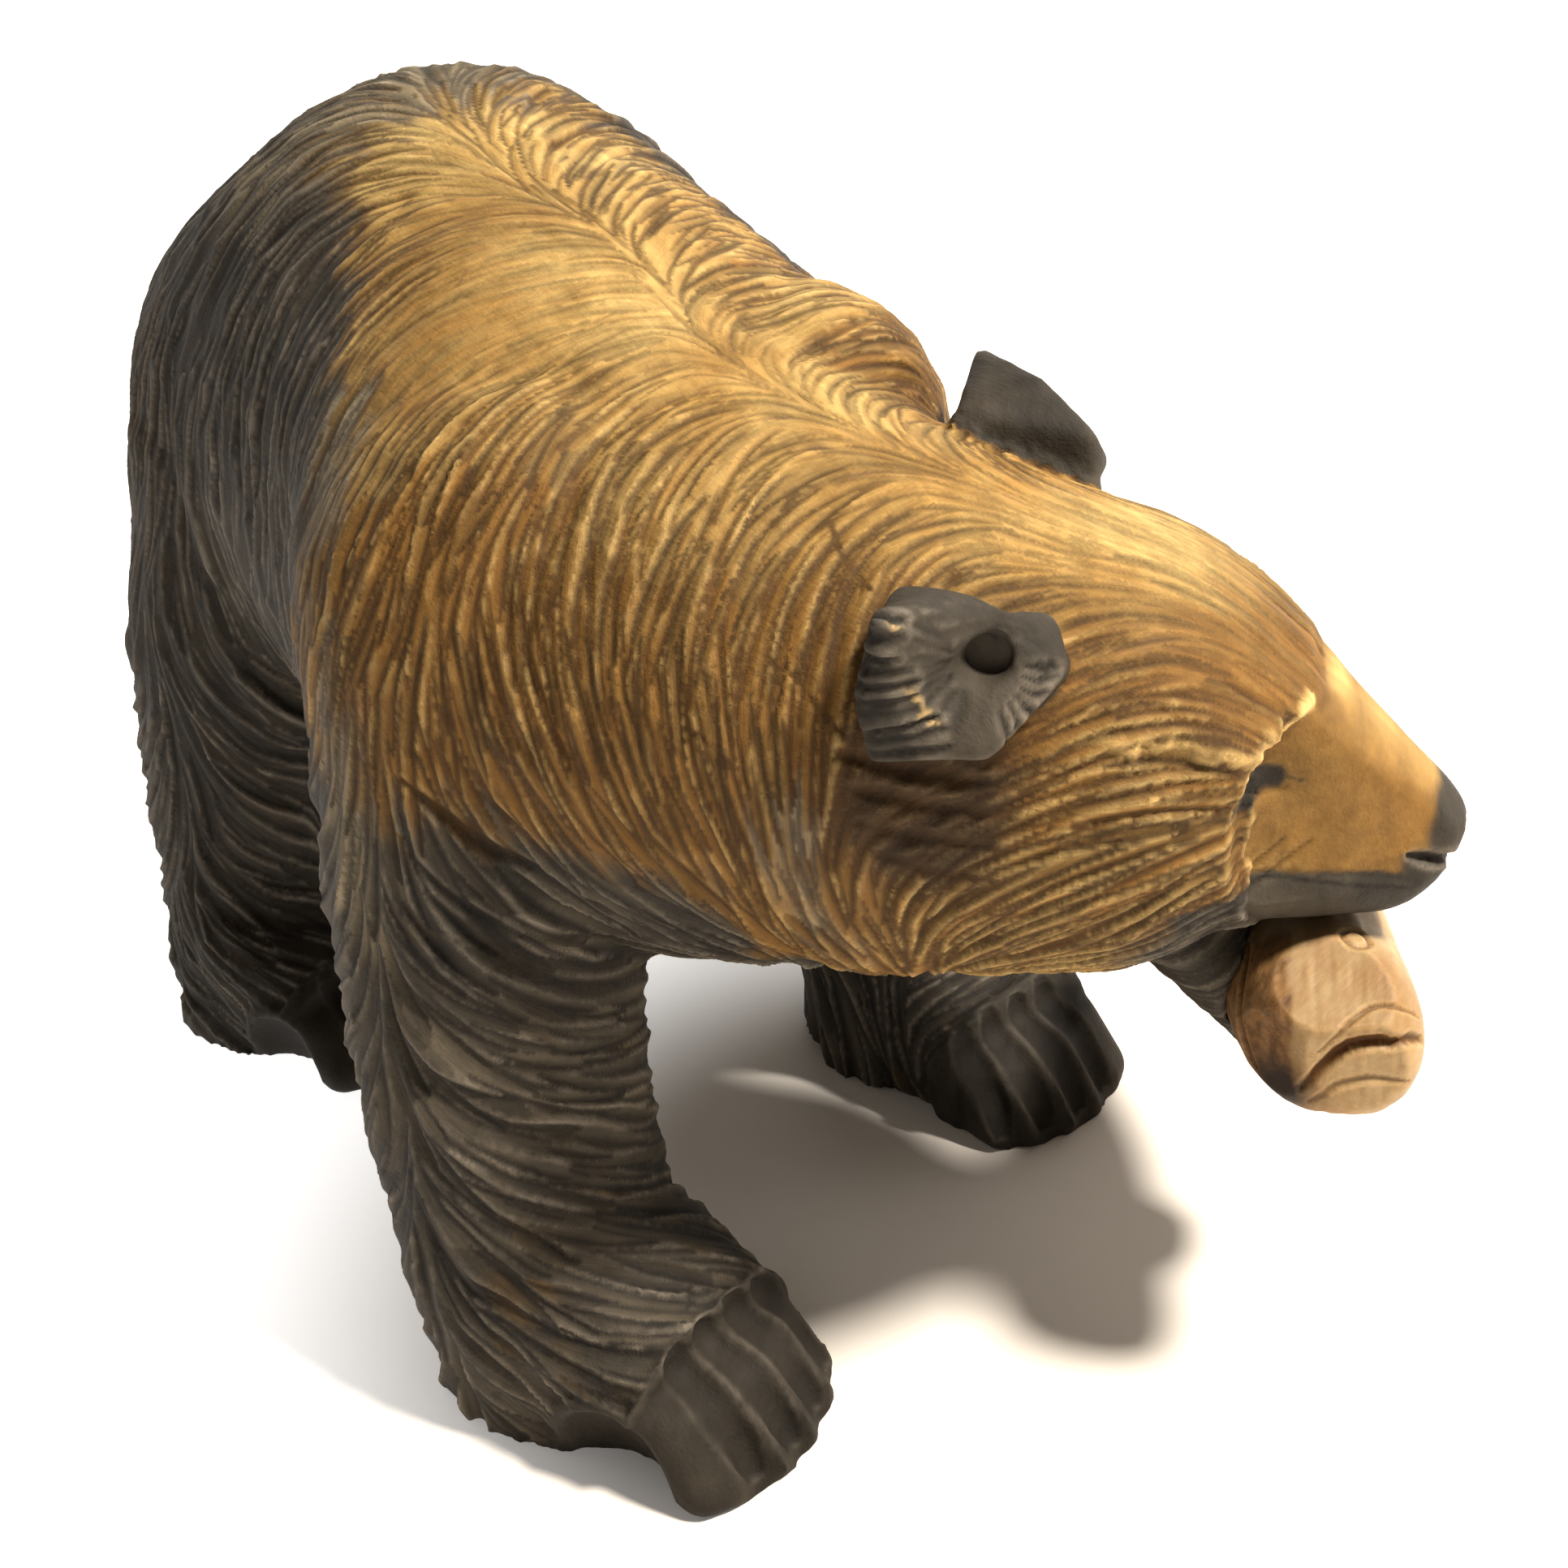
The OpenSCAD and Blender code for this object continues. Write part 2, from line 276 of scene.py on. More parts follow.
def smoothed(points, neighbours, rounds, weight):
    """Laplacian smoothing that swells back, so that the shape keeps its size."""
    w = weight[:, None] if isinstance(weight, np.ndarray) else weight
    for _ in range(rounds):
        points = points + 0.6 * w * (neighbours.mean(points) - points)
        points = points - 0.61 * w * (neighbours.mean(points) - points)
    return points


def joined_nodes(names):
    """The CAD nodes' surfaces as one list of points in mm and triangles, with each triangle's node."""
    points, faces, owner = [], [], []
    base = 0
    for i, name in enumerate(names):
        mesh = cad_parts[name].data
        mesh.calc_loop_triangles()
        triangles = read(mesh.loop_triangles, "vertices", np.int32, 3)
        co = mesh_points(mesh) / MM
        points.append(co)
        faces.append(triangles + base)
        owner.append(np.full(len(triangles), i))
        base += len(co)
    return np.concatenate(points), np.concatenate(faces), np.concatenate(owner)


def remeshed(points, faces, voxel):
    """One closed quad mesh around the given solids."""
    mesh = bpy.data.meshes.new("joined")
    mesh.from_pydata(points.tolist(), [], faces.tolist())
    ob = bpy.data.objects.new("joined", mesh)
    bpy.context.scene.collection.objects.link(ob)
    mod = ob.modifiers.new("voxels", "REMESH")
    mod.mode = "VOXEL"
    mod.voxel_size = voxel
    depsgraph = bpy.context.evaluated_depsgraph_get()
    made = bpy.data.meshes.new_from_object(ob.evaluated_get(depsgraph), depsgraph=depsgraph)
    bpy.data.objects.remove(ob)
    keep_largest(made)
    return made


def connected(edges, count):
    """A label for each point, which is the same on all points that edges connect."""
    label = np.arange(count)
    while True:
        low = np.minimum(label[edges[:, 0]], label[edges[:, 1]])
        new = label.copy()
        np.minimum.at(new, edges[:, 0], low)
        np.minimum.at(new, edges[:, 1], low)
        new = new[new]
        if (new == label).all():
            return label
        label = new


def keep_largest(mesh):
    """Removes everything but the largest connected part."""
    label = connected(mesh_edges(mesh), len(mesh.vertices))
    values, counts = np.unique(label, return_counts=True)
    if len(values) == 1:
        return
    drop = np.where(label != values[counts.argmax()])[0]
    bm = bmesh.new()
    bm.from_mesh(mesh)
    bm.verts.ensure_lookup_table()
    bmesh.ops.delete(bm, geom=[bm.verts[i] for i in drop], context="VERTS")
    bm.to_mesh(mesh)
    bm.free()


def gathered(values, index, count):
    """The sums of rows that share an index."""
    return np.stack([np.bincount(index, values[:, k], count) for k in range(3)], 1)


def subdivided(mesh):
    """The quad mesh after one round of Catmull-Clark subdivision. Faces keep their parent's node."""
    p, quads = mesh_points(mesh), mesh_quads(mesh)
    n, count = len(p), len(quads)
    middle = p[quads].mean(1)
    ends = np.sort(np.stack([quads, np.roll(quads, -1, 1)], 2).reshape(-1, 2), 1).astype(np.int64)
    keys, edge, uses = np.unique(ends[:, 0] * n + ends[:, 1], return_inverse=True, return_counts=True)
    a, b = keys // n, keys % n
    beside = gathered(np.repeat(middle, 4, 0), edge, len(keys)) / uses[:, None]
    half = (p[a] + p[b]) / 2
    faces_at = np.maximum(np.bincount(quads.ravel(), minlength=n), 1)[:, None]
    edges_at = np.maximum(np.bincount(np.concatenate([a, b]), minlength=n), 1)[:, None]
    around = gathered(np.repeat(middle, 4, 0), quads.ravel(), n) / faces_at
    spokes = gathered(np.concatenate([half, half]), np.concatenate([a, b]), n) / edges_at
    old = (around + 2 * spokes + (edges_at - 3) * p) / edges_at
    points = np.concatenate([old, (half + beside) / 2, middle])
    ahead = n + edge.reshape(-1, 4)
    behind = np.roll(ahead, 1, 1)
    centre = np.repeat((n + len(keys) + np.arange(count))[:, None], 4, 1)
    made = array_mesh("finer", points, np.stack([quads, ahead, centre, behind], 2).reshape(-1, 4))
    if "node" in mesh.attributes:
        set_face_nodes(made, np.repeat(face_nodes(mesh), 4))
    return made


def value_noise(points, scale, seed):
    """Smooth noise from -1 to 1, with lumps of about the given size."""
    g = np.random.default_rng(seed)
    table = g.uniform(-1, 1, 4096)
    q = points / scale + 100.0
    cell = np.floor(q).astype(int)
    t = q - cell
    t = t * t * (3 - 2 * t)
    total = np.zeros(len(points))
    for corner in range(8):
        dx, dy, dz = corner & 1, corner >> 1 & 1, corner >> 2 & 1
        key = (cell[:, 0] + dx) * 73856093 ^ (cell[:, 1] + dy) * 19349663 ^ (cell[:, 2] + dz) * 83492791
        w = ((t[:, 0] if dx else 1 - t[:, 0]) * (t[:, 1] if dy else 1 - t[:, 1])
             * (t[:, 2] if dz else 1 - t[:, 2]))
        total += w * table[key & 4095]
    return total


# ---------------------------------------------------------------- gouge strokes

# How far a fur line guides the fur around it, and how many steps a stroke is traced in, in all.
GUIDE_REACH = 13.0
STROKE_STEPS = 14

# Lines that the fur follows on the bear's right side, by local frame, each from the root of the hair
# to its tip, as (forward, left, up). The left side mirrors them.
FUR_LINES = {
    "body": [
        # back and flank
        [(12, -9, 235), (0, -24, 235), (-10, -36, 232), (-14, -46, 225)],
        [(-14, -2, 243), (-26, -14, 246), (-38, -28, 244), (-48, -40, 236), (-54, -50, 226)],
        [(-40, 6, 253), (-52, -10, 253), (-64, -24, 248), (-80, -36, 238)],
        [(40, -16, 223), (32, -30, 225), (26, -44, 220), (26, -56, 213), (28, -66, 203)],
        [(-48, -40, 236), (-60, -50, 223), (-70, -60, 205), (-80, -66, 184)],
        [(-12, -44, 226), (-16, -58, 213), (-20, -68, 195), (-30, -72, 170)],
        [(-30, -72, 170), (-42, -74, 150), (-56, -70, 125), (-72, -60, 105)],
        [(10, -66, 160), (-4, -68, 135), (-20, -62, 105), (-44, -48, 85)],
        [(-90, -62, 202), (-98, -72, 175), (-104, -78, 145), (-108, -82, 115)],
        [(-80, -34, 242), (-104, -44, 228), (-124, -54, 205), (-134, -60, 180)],
        [(-100, 9, 246), (-130, 8, 236), (-158, 6, 218), (-180, 5, 190), (-190, 4, 160)],
        [(-124, -20, 238), (-150, -32, 214), (-168, -38, 184), (-174, -40, 150)],
        [(-134, -60, 180), (-148, -62, 150), (-158, -56, 120), (-162, -48, 90)],
        [(40, -20, 74), (0, -20, 70), (-60, -16, 74), (-110, -14, 84)],
        [(-120, -14, 84), (-160, -12, 100), (-184, -8, 125)],
        # shoulder
        [(55, -15, 217), (47, -28, 219), (42, -41, 217), (41, -57, 210), (46, -70, 199), (50, -78, 186)],
        [(62, -20, 213), (60, -36, 211), (62, -51, 207), (62, -64, 198), (62, -74, 185), (60, -80, 169)],
        [(67, -23, 210), (68, -35, 208), (72, -49, 202), (74, -59, 193), (77, -65, 181), (82, -67, 167)],
        [(72, -25, 206), (76, -37, 201), (82, -46, 192), (89, -53, 181), (96, -56, 168), (103, -56, 154)],
        [(34, -62, 205), (24, -70, 190), (16, -74, 172), (10, -74, 150)],
        # foreleg: forwards of its outer line, and behind it
        [(57, -83, 164), (58, -86, 148), (61, -87, 132), (67, -85, 120), (74, -78, 112)],
        [(60, -92, 114), (69, -89, 101), (79, -77, 92), (80, -56, 82), (72, -38, 76)],
        [(64, -97, 89), (75, -92, 77), (84, -78, 68), (84, -57, 58), (76, -42, 52)],
        [(72, -99, 63), (83, -93, 50), (95, -80, 43), (99, -59, 36)],
        [(84, -99, 41), (98, -93, 34), (112, -81, 31), (116, -62, 26)],
        [(94, -62, 152), (98, -60, 139), (104, -55, 126), (110, -47, 116)],
        [(78, -71, 150), (81, -69, 134), (85, -62, 117), (90, -51, 104)],
        [(50, -84, 170), (38, -84, 154), (24, -80, 138), (12, -70, 126)],
        [(54, -88, 140), (42, -92, 124), (28, -90, 108), (14, -78, 98)],
        [(52, -96, 110), (40, -100, 94), (28, -96, 80), (18, -84, 72)],
        [(56, -102, 76), (46, -106, 62), (36, -100, 48), (28, -88, 38)],
        [(62, -104, 50), (52, -106, 34), (42, -98, 20)],
        [(30, -34, 90), (26, -38, 60), (34, -44, 30)],
        # hind leg: forwards of its outer line, and behind it
        [(-92, -68, 168), (-93, -71, 146), (-87, -70, 124), (-82, -62, 110)],
        [(-107, -77, 133), (-103, -79, 108), (-96, -75, 90), (-88, -60, 80)],
        [(-113, -86, 84), (-108, -87, 62), (-96, -80, 46), (-86, -62, 40)],
        [(-112, -95, 39), (-92, -93, 30), (-72, -84, 25)],
        [(-112, -76, 160), (-130, -76, 140), (-148, -66, 122), (-162, -50, 110)],
        [(-114, -84, 112), (-130, -86, 94), (-146, -78, 80), (-158, -62, 72)],
        [(-114, -92, 70), (-130, -96, 52), (-146, -90, 38), (-156, -74, 30)],
        [(-100, -34, 80), (-108, -38, 50), (-112, -40, 25)],
    ],
    "neck": [
        [(-11, 1, 203), (-19, -8, 206), (-23, -22, 204), (-21, -35, 196), (-15, -46, 186), (-10, -54, 174)],
        [(4, -1, 197), (-2, -14, 198), (-7, -27, 196), (-8, -39, 189), (-5, -49, 178), (-1, -56, 163)],
        [(18, -2, 192), (11, -16, 193), (6, -29, 190), (5, -41, 182), (6, -50, 171), (8, -55, 158)],
        [(30, 0, 187), (22, -14, 189), (18, -27, 186), (16, -40, 179), (16, -48, 167), (19, -53, 154)],
        [(-1, -56, 163), (1, -60, 146), (4, -57, 126), (8, -48, 108)],
        [(8, -55, 158), (11, -57, 139), (14, -52, 120), (16, -40, 104)],
        [(22, -52, 140), (22, -50, 122), (22, -42, 106), (22, -28, 94)],
        [(52, -38, 150), (42, -44, 148), (32, -49, 146)],
    ],
    "head": [
        [(39, -12, 154), (25, -9, 169), (10, -3, 177), (-5, 0, 183), (-19, 0, 188)],
        [(41, -20, 146), (31, -19, 161), (18, -17, 171), (4, -16, 177), (-11, -19, 182)],
        [(36, -26, 147), (25, -25, 162), (14, -24, 170), (6, -32, 169), (3, -39, 163)],
        [(34, -29, 146), (23, -33, 157), (15, -36, 161), (8, -39, 160), (0, -45, 155)],
        [(34, -31, 141), (20, -40, 148), (7, -46, 146), (-7, -50, 140), (-22, -51, 127)],
        [(35, -32, 134), (23, -41, 133), (11, -47, 128), (-4, -47, 120), (-20, -44, 110)],
        [(31, -34, 126), (19, -42, 122), (6, -45, 115), (-8, -42, 106)],
        [(26, -30, 108), (12, -36, 102), (-2, -36, 96), (-16, -32, 92)],
        [(18, -8, 86), (0, -8, 84), (-20, -8, 84)],
    ],
}


def point_tree(points):
    tree = KDTree(len(points))
    for i, p in enumerate(points):
        tree.insert(p, i)
    tree.balance()
    return tree


def fur_guides(normals, tree):
    """Guide points, directions and normals on both sides of the bear, from the fur lines."""
    at, way = [], []
    for place, lines in FUR_LINES.items():
        for line in lines:
            for side in (1, -1):
                row = placed(place, [(f, left * side, up) for f, left, up in line])
                at.append((row[1:] + row[:-1]) / 2)
                way.append(unit(row[1:] - row[:-1]))
    at, way = np.concatenate(at), np.concatenate(way)
    nearest = [tree.find(p)[1] for p in at]
    return at, way, normals[nearest]


def fur_directions(points, normals, guides, reach):
    """A direction along the surface for every point, from the guides near it."""
    at, way, facing = guides
    out = np.zeros_like(points)
    for start in range(0, len(points), 20000):
        p, n = points[start:start + 20000], normals[start:start + 20000]
        d2 = ((p ** 2).sum(1)[:, None] + (at ** 2).sum(1)[None] - 2 * p @ at.T)
        w = np.exp(-d2 / (2 * reach * reach)) + 1e-3 / (1 + (np.maximum(d2, 0) / 900) ** 2)
        w *= np.clip(n @ facing.T + 0.2, 0.02, 1) ** 2
        out[start:start + 20000] = (w @ way) / w.sum(1, keepdims=True)
    out -= (out * normals).sum(1, keepdims=True) * normals
    return unit(out)


def spread_seeds(points, spacing, allowed, seed):
    """Vertices about one spacing apart, each picked at random from its cell."""
    order = np.random.default_rng(seed).permutation(np.where(allowed)[0])
    size = np.round(spacing[order] * 4) / 4
    cell = np.floor(points[order] / size[:, None]).astype(np.int64) + 500
    key = ((cell[:, 0] * 1000 + cell[:, 1]) * 1000 + cell[:, 2]) * 100 + (size * 4).astype(np.int64)
    return order[np.unique(key, return_index=True)[1]]


def turned(way, normals, angle):
    """Directions turned about their normals by angles in radians."""
    across = np.cross(normals, way)
    return way * np.cos(angle)[:, None] + across * np.sin(angle)[:, None]


def traced(surface, start, turn, length, back):
    """Strokes that follow the fur from their seeds. back is the share that lies before the seed."""
    points, normals, way, tree = surface
    step = length / STROKE_STEPS
    halves = []
    for sign, share in ((-1.0, back), (1.0, 1 - back)):
        count = max(1, int(round(STROKE_STEPS * share)))
        at = start.copy()
        rows, ups = [], []
        for _ in range(count + 1):
            near = np.fromiter((tree.find(p)[1] for p in at), np.int64, len(at))
            n = normals[near]
            at = at - ((at - points[near]) * n).sum(1, keepdims=True) * n
            rows.append(at)
            ups.append(n)
            at = at + sign * step[:, None] * turned(way[near], n, turn)
        halves.append((rows, ups))
    rows = halves[0][0][:0:-1] + halves[1][0]
    ups = halves[0][1][:0:-1] + halves[1][1]
    return np.stack(rows, 1), np.stack(ups, 1)


def carved(points, normals, strokes):
    """How far each point is cut below the surface by the strokes, and the stroke that cuts deepest."""
    at, up, half, deep, lean, power = strokes
    count = at.shape[1] - 1
    a = at[:, :-1].reshape(-1, 3).astype(np.float32)
    b = at[:, 1:].reshape(-1, 3).astype(np.float32)
    n = unit(up[:, :-1] + up[:, 1:]).reshape(-1, 3).astype(np.float32)
    wa, wb = half[:, :-1].ravel().astype(np.float32), half[:, 1:].ravel().astype(np.float32)
    ha, hb = deep[:, :-1].ravel().astype(np.float32), deep[:, 1:].ravel().astype(np.float32)
    side = np.repeat(lean, count).astype(np.float32)
    sharp = np.repeat(power, count).astype(np.float32)
    owner = np.repeat(np.arange(len(at)), count)
    length = np.maximum(np.linalg.norm(b - a, axis=1), 1e-3)
    along = (b - a) / length[:, None]
    across = np.cross(n, along)
    size = float(np.max(length) / 2 + max(wa.max(), wb.max()))
    cell = np.floor(points / size).astype(np.int64) + 500
    key = (cell[:, 0] * 4096 + cell[:, 1]) * 4096 + cell[:, 2]
    order = np.argsort(key, kind="stable")
    keys, first, counts = np.unique(key[order], return_index=True, return_counts=True)
    p32, n32 = points[order].astype(np.float32), normals[order].astype(np.float32)
    best = np.zeros(len(points), np.int64)
    middle = np.floor((a + b) / 2 / size).astype(np.int64) + 500
    offsets = [(i * 4096 + j) * 4096 + k for i in (-1, 0, 1) for j in (-1, 0, 1) for k in (-1, 0, 1)]
    middle_key = (middle[:, 0] * 4096 + middle[:, 1]) * 4096 + middle[:, 2]
    for start in range(0, len(a), 6000):
        part = np.arange(start, min(start + 6000, len(a)))
        wanted = (middle_key[part][:, None] + np.array(offsets)[None]).ravel()
        seg = np.repeat(part, 27)
        slot = np.minimum(np.searchsorted(keys, wanted), len(keys) - 1)
        hit = keys[slot] == wanted
        slot, seg = slot[hit], seg[hit]
        num = counts[slot]
        seg = np.repeat(seg, num)
        run = np.arange(num.sum()) - np.repeat(np.cumsum(num) - num, num)
        v = np.repeat(first[slot], num) + run
        r = p32[v] - a[seg]
        t = np.clip((r * along[seg]).sum(1) / length[seg], 0, 1)
        u = (r * across[seg]).sum(1)
        w = wa[seg] + (wb[seg] - wa[seg]) * t
        far = (r * along[seg]).sum(1) - t * length[seg]
        lift = (r * n[seg]).sum(1)
        ok = (np.abs(u) < w) & (np.abs(far) < 0.3) & (np.abs(lift) < 4) & ((n32[v] * n[seg]).sum(1) > 0.3)
        v, seg, t, u, w = v[ok], seg[ok], t[ok], u[ok] / w[ok], w[ok]
        u = np.where(u > side[seg], (u - side[seg]) / (1 - side[seg]), (side[seg] - u) / (1 + side[seg]))
        cut = (ha[seg] + (hb[seg] - ha[seg]) * t) * (1 - u ** sharp[seg])
        code = (np.maximum(cut, 0) * 1e5).astype(np.int64) * (1 << 20) + owner[seg] + 1
        np.maximum.at(best, v, code)
    depth = np.zeros(len(points))
    stroke = np.full(len(points), -1)
    depth[order] = (best >> 20) / 1e5
    stroke[order] = (best & ((1 << 20) - 1)) - 1
    return depth, stroke


def across_stroke(points, normals, stroke, strokes):
    """How far each point lies to the side of its stroke's middle, and of its deepest line, in mm."""
    at, _, half, _, lean, _ = strokes
    out = np.zeros(len(points))
    off = np.full(len(points), 9.0)
    for start in range(0, len(points), 100000):
        part = np.arange(start, min(start + 100000, len(points)))
        part = part[stroke[part] >= 0]
        rows = at[stroke[part]]
        k = np.linalg.norm(rows - points[part][:, None], axis=2).argmin(1)
        last = at.shape[1] - 1
        pick = np.arange(len(part))
        along = unit(rows[pick, np.minimum(k + 1, last)] - rows[pick, np.maximum(k - 1, 0)])
        out[part] = ((points[part] - rows[pick, k]) * np.cross(normals[part], along)).sum(1)
        off[part] = np.abs(out[part] - lean[stroke[part]] * half[stroke[part], k])
    return out, off


def stroke_depth(count, depth, seed):
    """Depths along each stroke: it starts thin, swells and ends in a short point."""
    t = np.linspace(0, 1, count)[None]
    g = np.random.default_rng(seed)
    peak = g.uniform(0.5, 0.85, len(depth))[:, None]
    rise = np.clip(t / peak, 0, 1)
    fall = np.clip((1 - t) / (1 - peak), 0, 1)
    shape = np.where(t < peak, np.sin(rise * np.pi / 2) ** 0.7, np.sin(fall * np.pi / 2) ** 0.5)
    return depth[:, None] * (0.15 + 0.85 * shape)


def drawn_cuts(cuts, points, normals, tree):
    """Strokes along given lines: each cut is (place, line, half width, depth, how sharp, mirrored)."""
    rows, ups, halves, depths, powers = [], [], [], [], []
    for place, line, width, depth, power, mirrored in cuts:
        for side in (1, -1) if mirrored else (1,):
            path = placed(place, [(f, left * side, up) for f, left, up in line])
            gone = np.append(0, np.cumsum(np.linalg.norm(np.diff(path, axis=0), axis=1)))
            t = np.linspace(0, gone[-1], STROKE_STEPS + 1)
            row = np.stack([np.interp(t, gone, path[:, k]) for k in range(3)], 1)
            row[1:-1] = (row[:-2] + 2 * row[1:-1] + row[2:]) / 4
            near = [tree.find(p)[1] for p in row]
            n = normals[near]
            rows.append(row - ((row - points[near]) * n).sum(1, keepdims=True) * n)
            ups.append(n)
            swell = 0.25 + 0.75 * np.sin(np.linspace(0.05, 0.95, STROKE_STEPS + 1) * np.pi) ** 0.6
            halves.append(width * swell)
            depths.append(depth * swell)
            powers.append(power)
    count = len(rows)
    return (np.stack(rows), np.stack(ups), np.stack(halves), np.stack(depths), np.zeros(count),
            np.array(powers))


# ---------------------------------------------------------------- shaping tools


def path_distance(points, path):
    """Distance to a line of points, how far along it (0 to 1), and the nearest place on it."""
    best = np.full(len(points), np.inf)
    share = np.zeros(len(points))
    path = np.asarray(path, float)
    spans = np.linalg.norm(np.diff(path, axis=0), axis=1)
    total, gone = spans.sum(), 0.0
    for a, b, span in zip(path[:-1], path[1:], spans):
        t = np.clip(((points - a) @ (b - a)) / (span * span), 0, 1)
        d = np.linalg.norm(points - (a + t[:, None] * (b - a)), axis=1)
        closer = d < best
        best[closer] = d[closer]
        share[closer] = ((gone + t * span) / total)[closer]
        gone += span
    return best, share


def near_line(points, place, line, radius):
    """1 on a line given in a local frame, falling to 0 a radius away."""
    d, _ = path_distance(points, placed(place, line))
    return np.clip(1 - d / radius, 0, 1)


def near_zones(points, zones):
    """The most that any zone gives each point: each is (local frame, line, radius, strength)."""
    return np.max([strength * near_line(points, place, line, radius)
                   for place, line, radius, strength in zones], axis=0)


def bump(distance, radius):
    t = np.clip(1 - (distance / radius) ** 2, 0, 1)
    return t * t


def side_bump(h, forward, up, radius, tall=1.0):
    """1 at a place seen from the side of the head, on both sides, falling to 0 a radius away.

    Heights are multiplied by tall first, and up is a height so multiplied."""
    return bump(np.linalg.norm(h * (1, 0, tall) - (forward, 0, up), axis=1), radius)


class Clay:
    """Points being shaped, with the tools that shape them. Places are given in a local frame."""

    def __init__(self, points, normals):
        self.p = points
        self.n = normals

    def swell(self, place, at, radius, amount):
        d = np.linalg.norm(self.p - placed(place, at), axis=1)
        self.p = self.p + self.n * (bump(d, radius) * amount)[:, None]

    def flatten(self, place, at, normal, centre, radius, strength=1.0):
        """Planes off what stands above a plane, within a radius."""
        way = unit(placed(place, normal) - placed(place, (0, 0, 0)))[0]
        above = (self.p - placed(place, at)[0]) @ way
        d = np.linalg.norm(self.p - placed(place, centre), axis=1)
        near = smoothstep(1.0, 0.75, d / radius)
        self.p = self.p - (np.maximum(above, 0) * near * strength)[:, None] * way


# ---------------------------------------------------------------- the bear


# Cuts made one by one: local frame, line, half width, depth, how sharp (1 is a V), and mirrored or not.
CUTS = [
    # the gouges under the ear
    ("head", [(-38, -54, 158), (-24, -54, 154), (-10, -51, 150)], 3.4, 2.6, 1.7, True),
    ("head", [(-37, -54, 151), (-24, -53, 147), (-8, -50, 143)], 3.4, 2.6, 1.7, True),
    ("head", [(-36, -53, 144), (-24, -52, 140), (-10, -49, 137)], 3.3, 2.4, 1.7, True),
    ("head", [(-34, -52, 138), (-24, -50, 133), (-13, -48, 131)], 3.0, 2.0, 1.7, True),
    # the dark gouges in the shoulder
    ("body", [(63, -83, 147), (69, -78, 139), (75, -74, 131), (84, -64, 122)], 3.4, 3.2, 1.3, True),
    ("body", [(74, -74, 146), (80, -70, 137), (85, -64, 127), (92, -56, 118)], 2.6, 2.2, 1.3, True),
    ("body", [(62, -86, 134), (68, -83, 124), (76, -77, 115), (84, -66, 107)], 2.6, 2.4, 1.3, True),
    # the corner of the eye and the crack beside it
    ("head", [(28.5, -37, 134), (31.5, -34, 136.5), (35.5, -30, 136)], 2.4, 2.8, 1.2, True),
    ("head", [(31.5, -33, 140), (33.5, -31, 138), (36, -29.5, 136)], 1.6, 2.0, 1.2, True),
    ("head", [(35, -30, 137), (38, -27, 135.5), (41, -25, 134.5)], 0.8, 0.4, 1.2, True),
    # under the nose pad
    ("head", [(70, -3, 111), (66, -9, 112), (60, -14, 115)], 1.8, 2.4, 1.2, True),
    # the lip's upper edge and the crack along it
    ("head", [(16, -41, 119), (26, -36, 119), (36, -29, 118), (48, -21, 115), (60, -14, 110)],
     1.2, 0.4, 1.3, True),
    # folds at the corner of the mouth
    ("head", [(40, -28, 124), (30, -33, 116), (22, -36, 107), (16, -34, 99)], 1.3, 1.1, 1.2, True),
    ("head", [(34, -31, 125), (26, -36, 117), (18, -38, 108), (11, -36, 100)], 1.3, 1.1, 1.2, True),
    ("head", [(30, -34, 125), (21, -39, 117), (13, -40, 108), (6, -37, 100)], 1.3, 1.2, 1.2, True),
    ("head", [(45, -26, 123), (36, -29, 117), (27, -32, 109), (21, -32, 100)], 1.1, 0.9, 1.2, True),
]
# The lower edge of the brow's fur, seen from the side of the head: places forward, and heights.
BROW_EDGE = ((2, 14, 20, 26, 31, 36), (156, 152.5, 151, 148.5, 145, 145))
# Drying cracks: local frame and line, and the half width, depth and sharpness of them all.
CRACK_CUT = (0.9, 1.0, 1.0)
CRACKS = [
    ("neck", [(14, -25, 189), (18, -29, 185), (21, -30, 184), (25, -32, 180)]),
    ("neck", [(8, -47, 176), (14, -47, 170.5), (16, -47, 170), (20, -47.5, 166), (27, -48, 159)]),
    ("neck", [(-1, -57, 161), (2, -57, 160), (9, -57, 154)]),
    ("head", [(14, -42, 140), (20, -40, 133), (26, -37, 126)]),
    ("body", [(-88, -66, 176), (-89, -68, 168), (-92, -70, 160)]),
]


# The paws' heels: x, y, the way that the toes point, how far the fur reaches beyond the usual, and
# the side that the inner toe is on, 1 for left.
PAWS = [
    (79.7, -73.4, 15, 4, 1),
    (44.7, 55.6, 2, 0, -1),
    (-105.3, -68.4, 12, 0, 1),
    (-113.3, 63.6, -10, 0, -1),
]


def muzzle_edge(h):
    """How far a point of the head frame is ahead of the fur's edge on the muzzle, in mm."""
    side = np.abs(h[:, 1])
    upper = 44 - 0.30 * np.maximum(side - 10, 0) - 0.35 * np.maximum(side - 22, 0)
    lower = 33.0 - 0.12 * np.maximum(140 - h[:, 2], 0)
    lower = lower + 0.35 * np.maximum(112 - h[:, 2], 0)
    share = smoothstep(143, 149, h[:, 2])
    edge = lower + (upper - lower) * share
    return h[:, 0] - edge


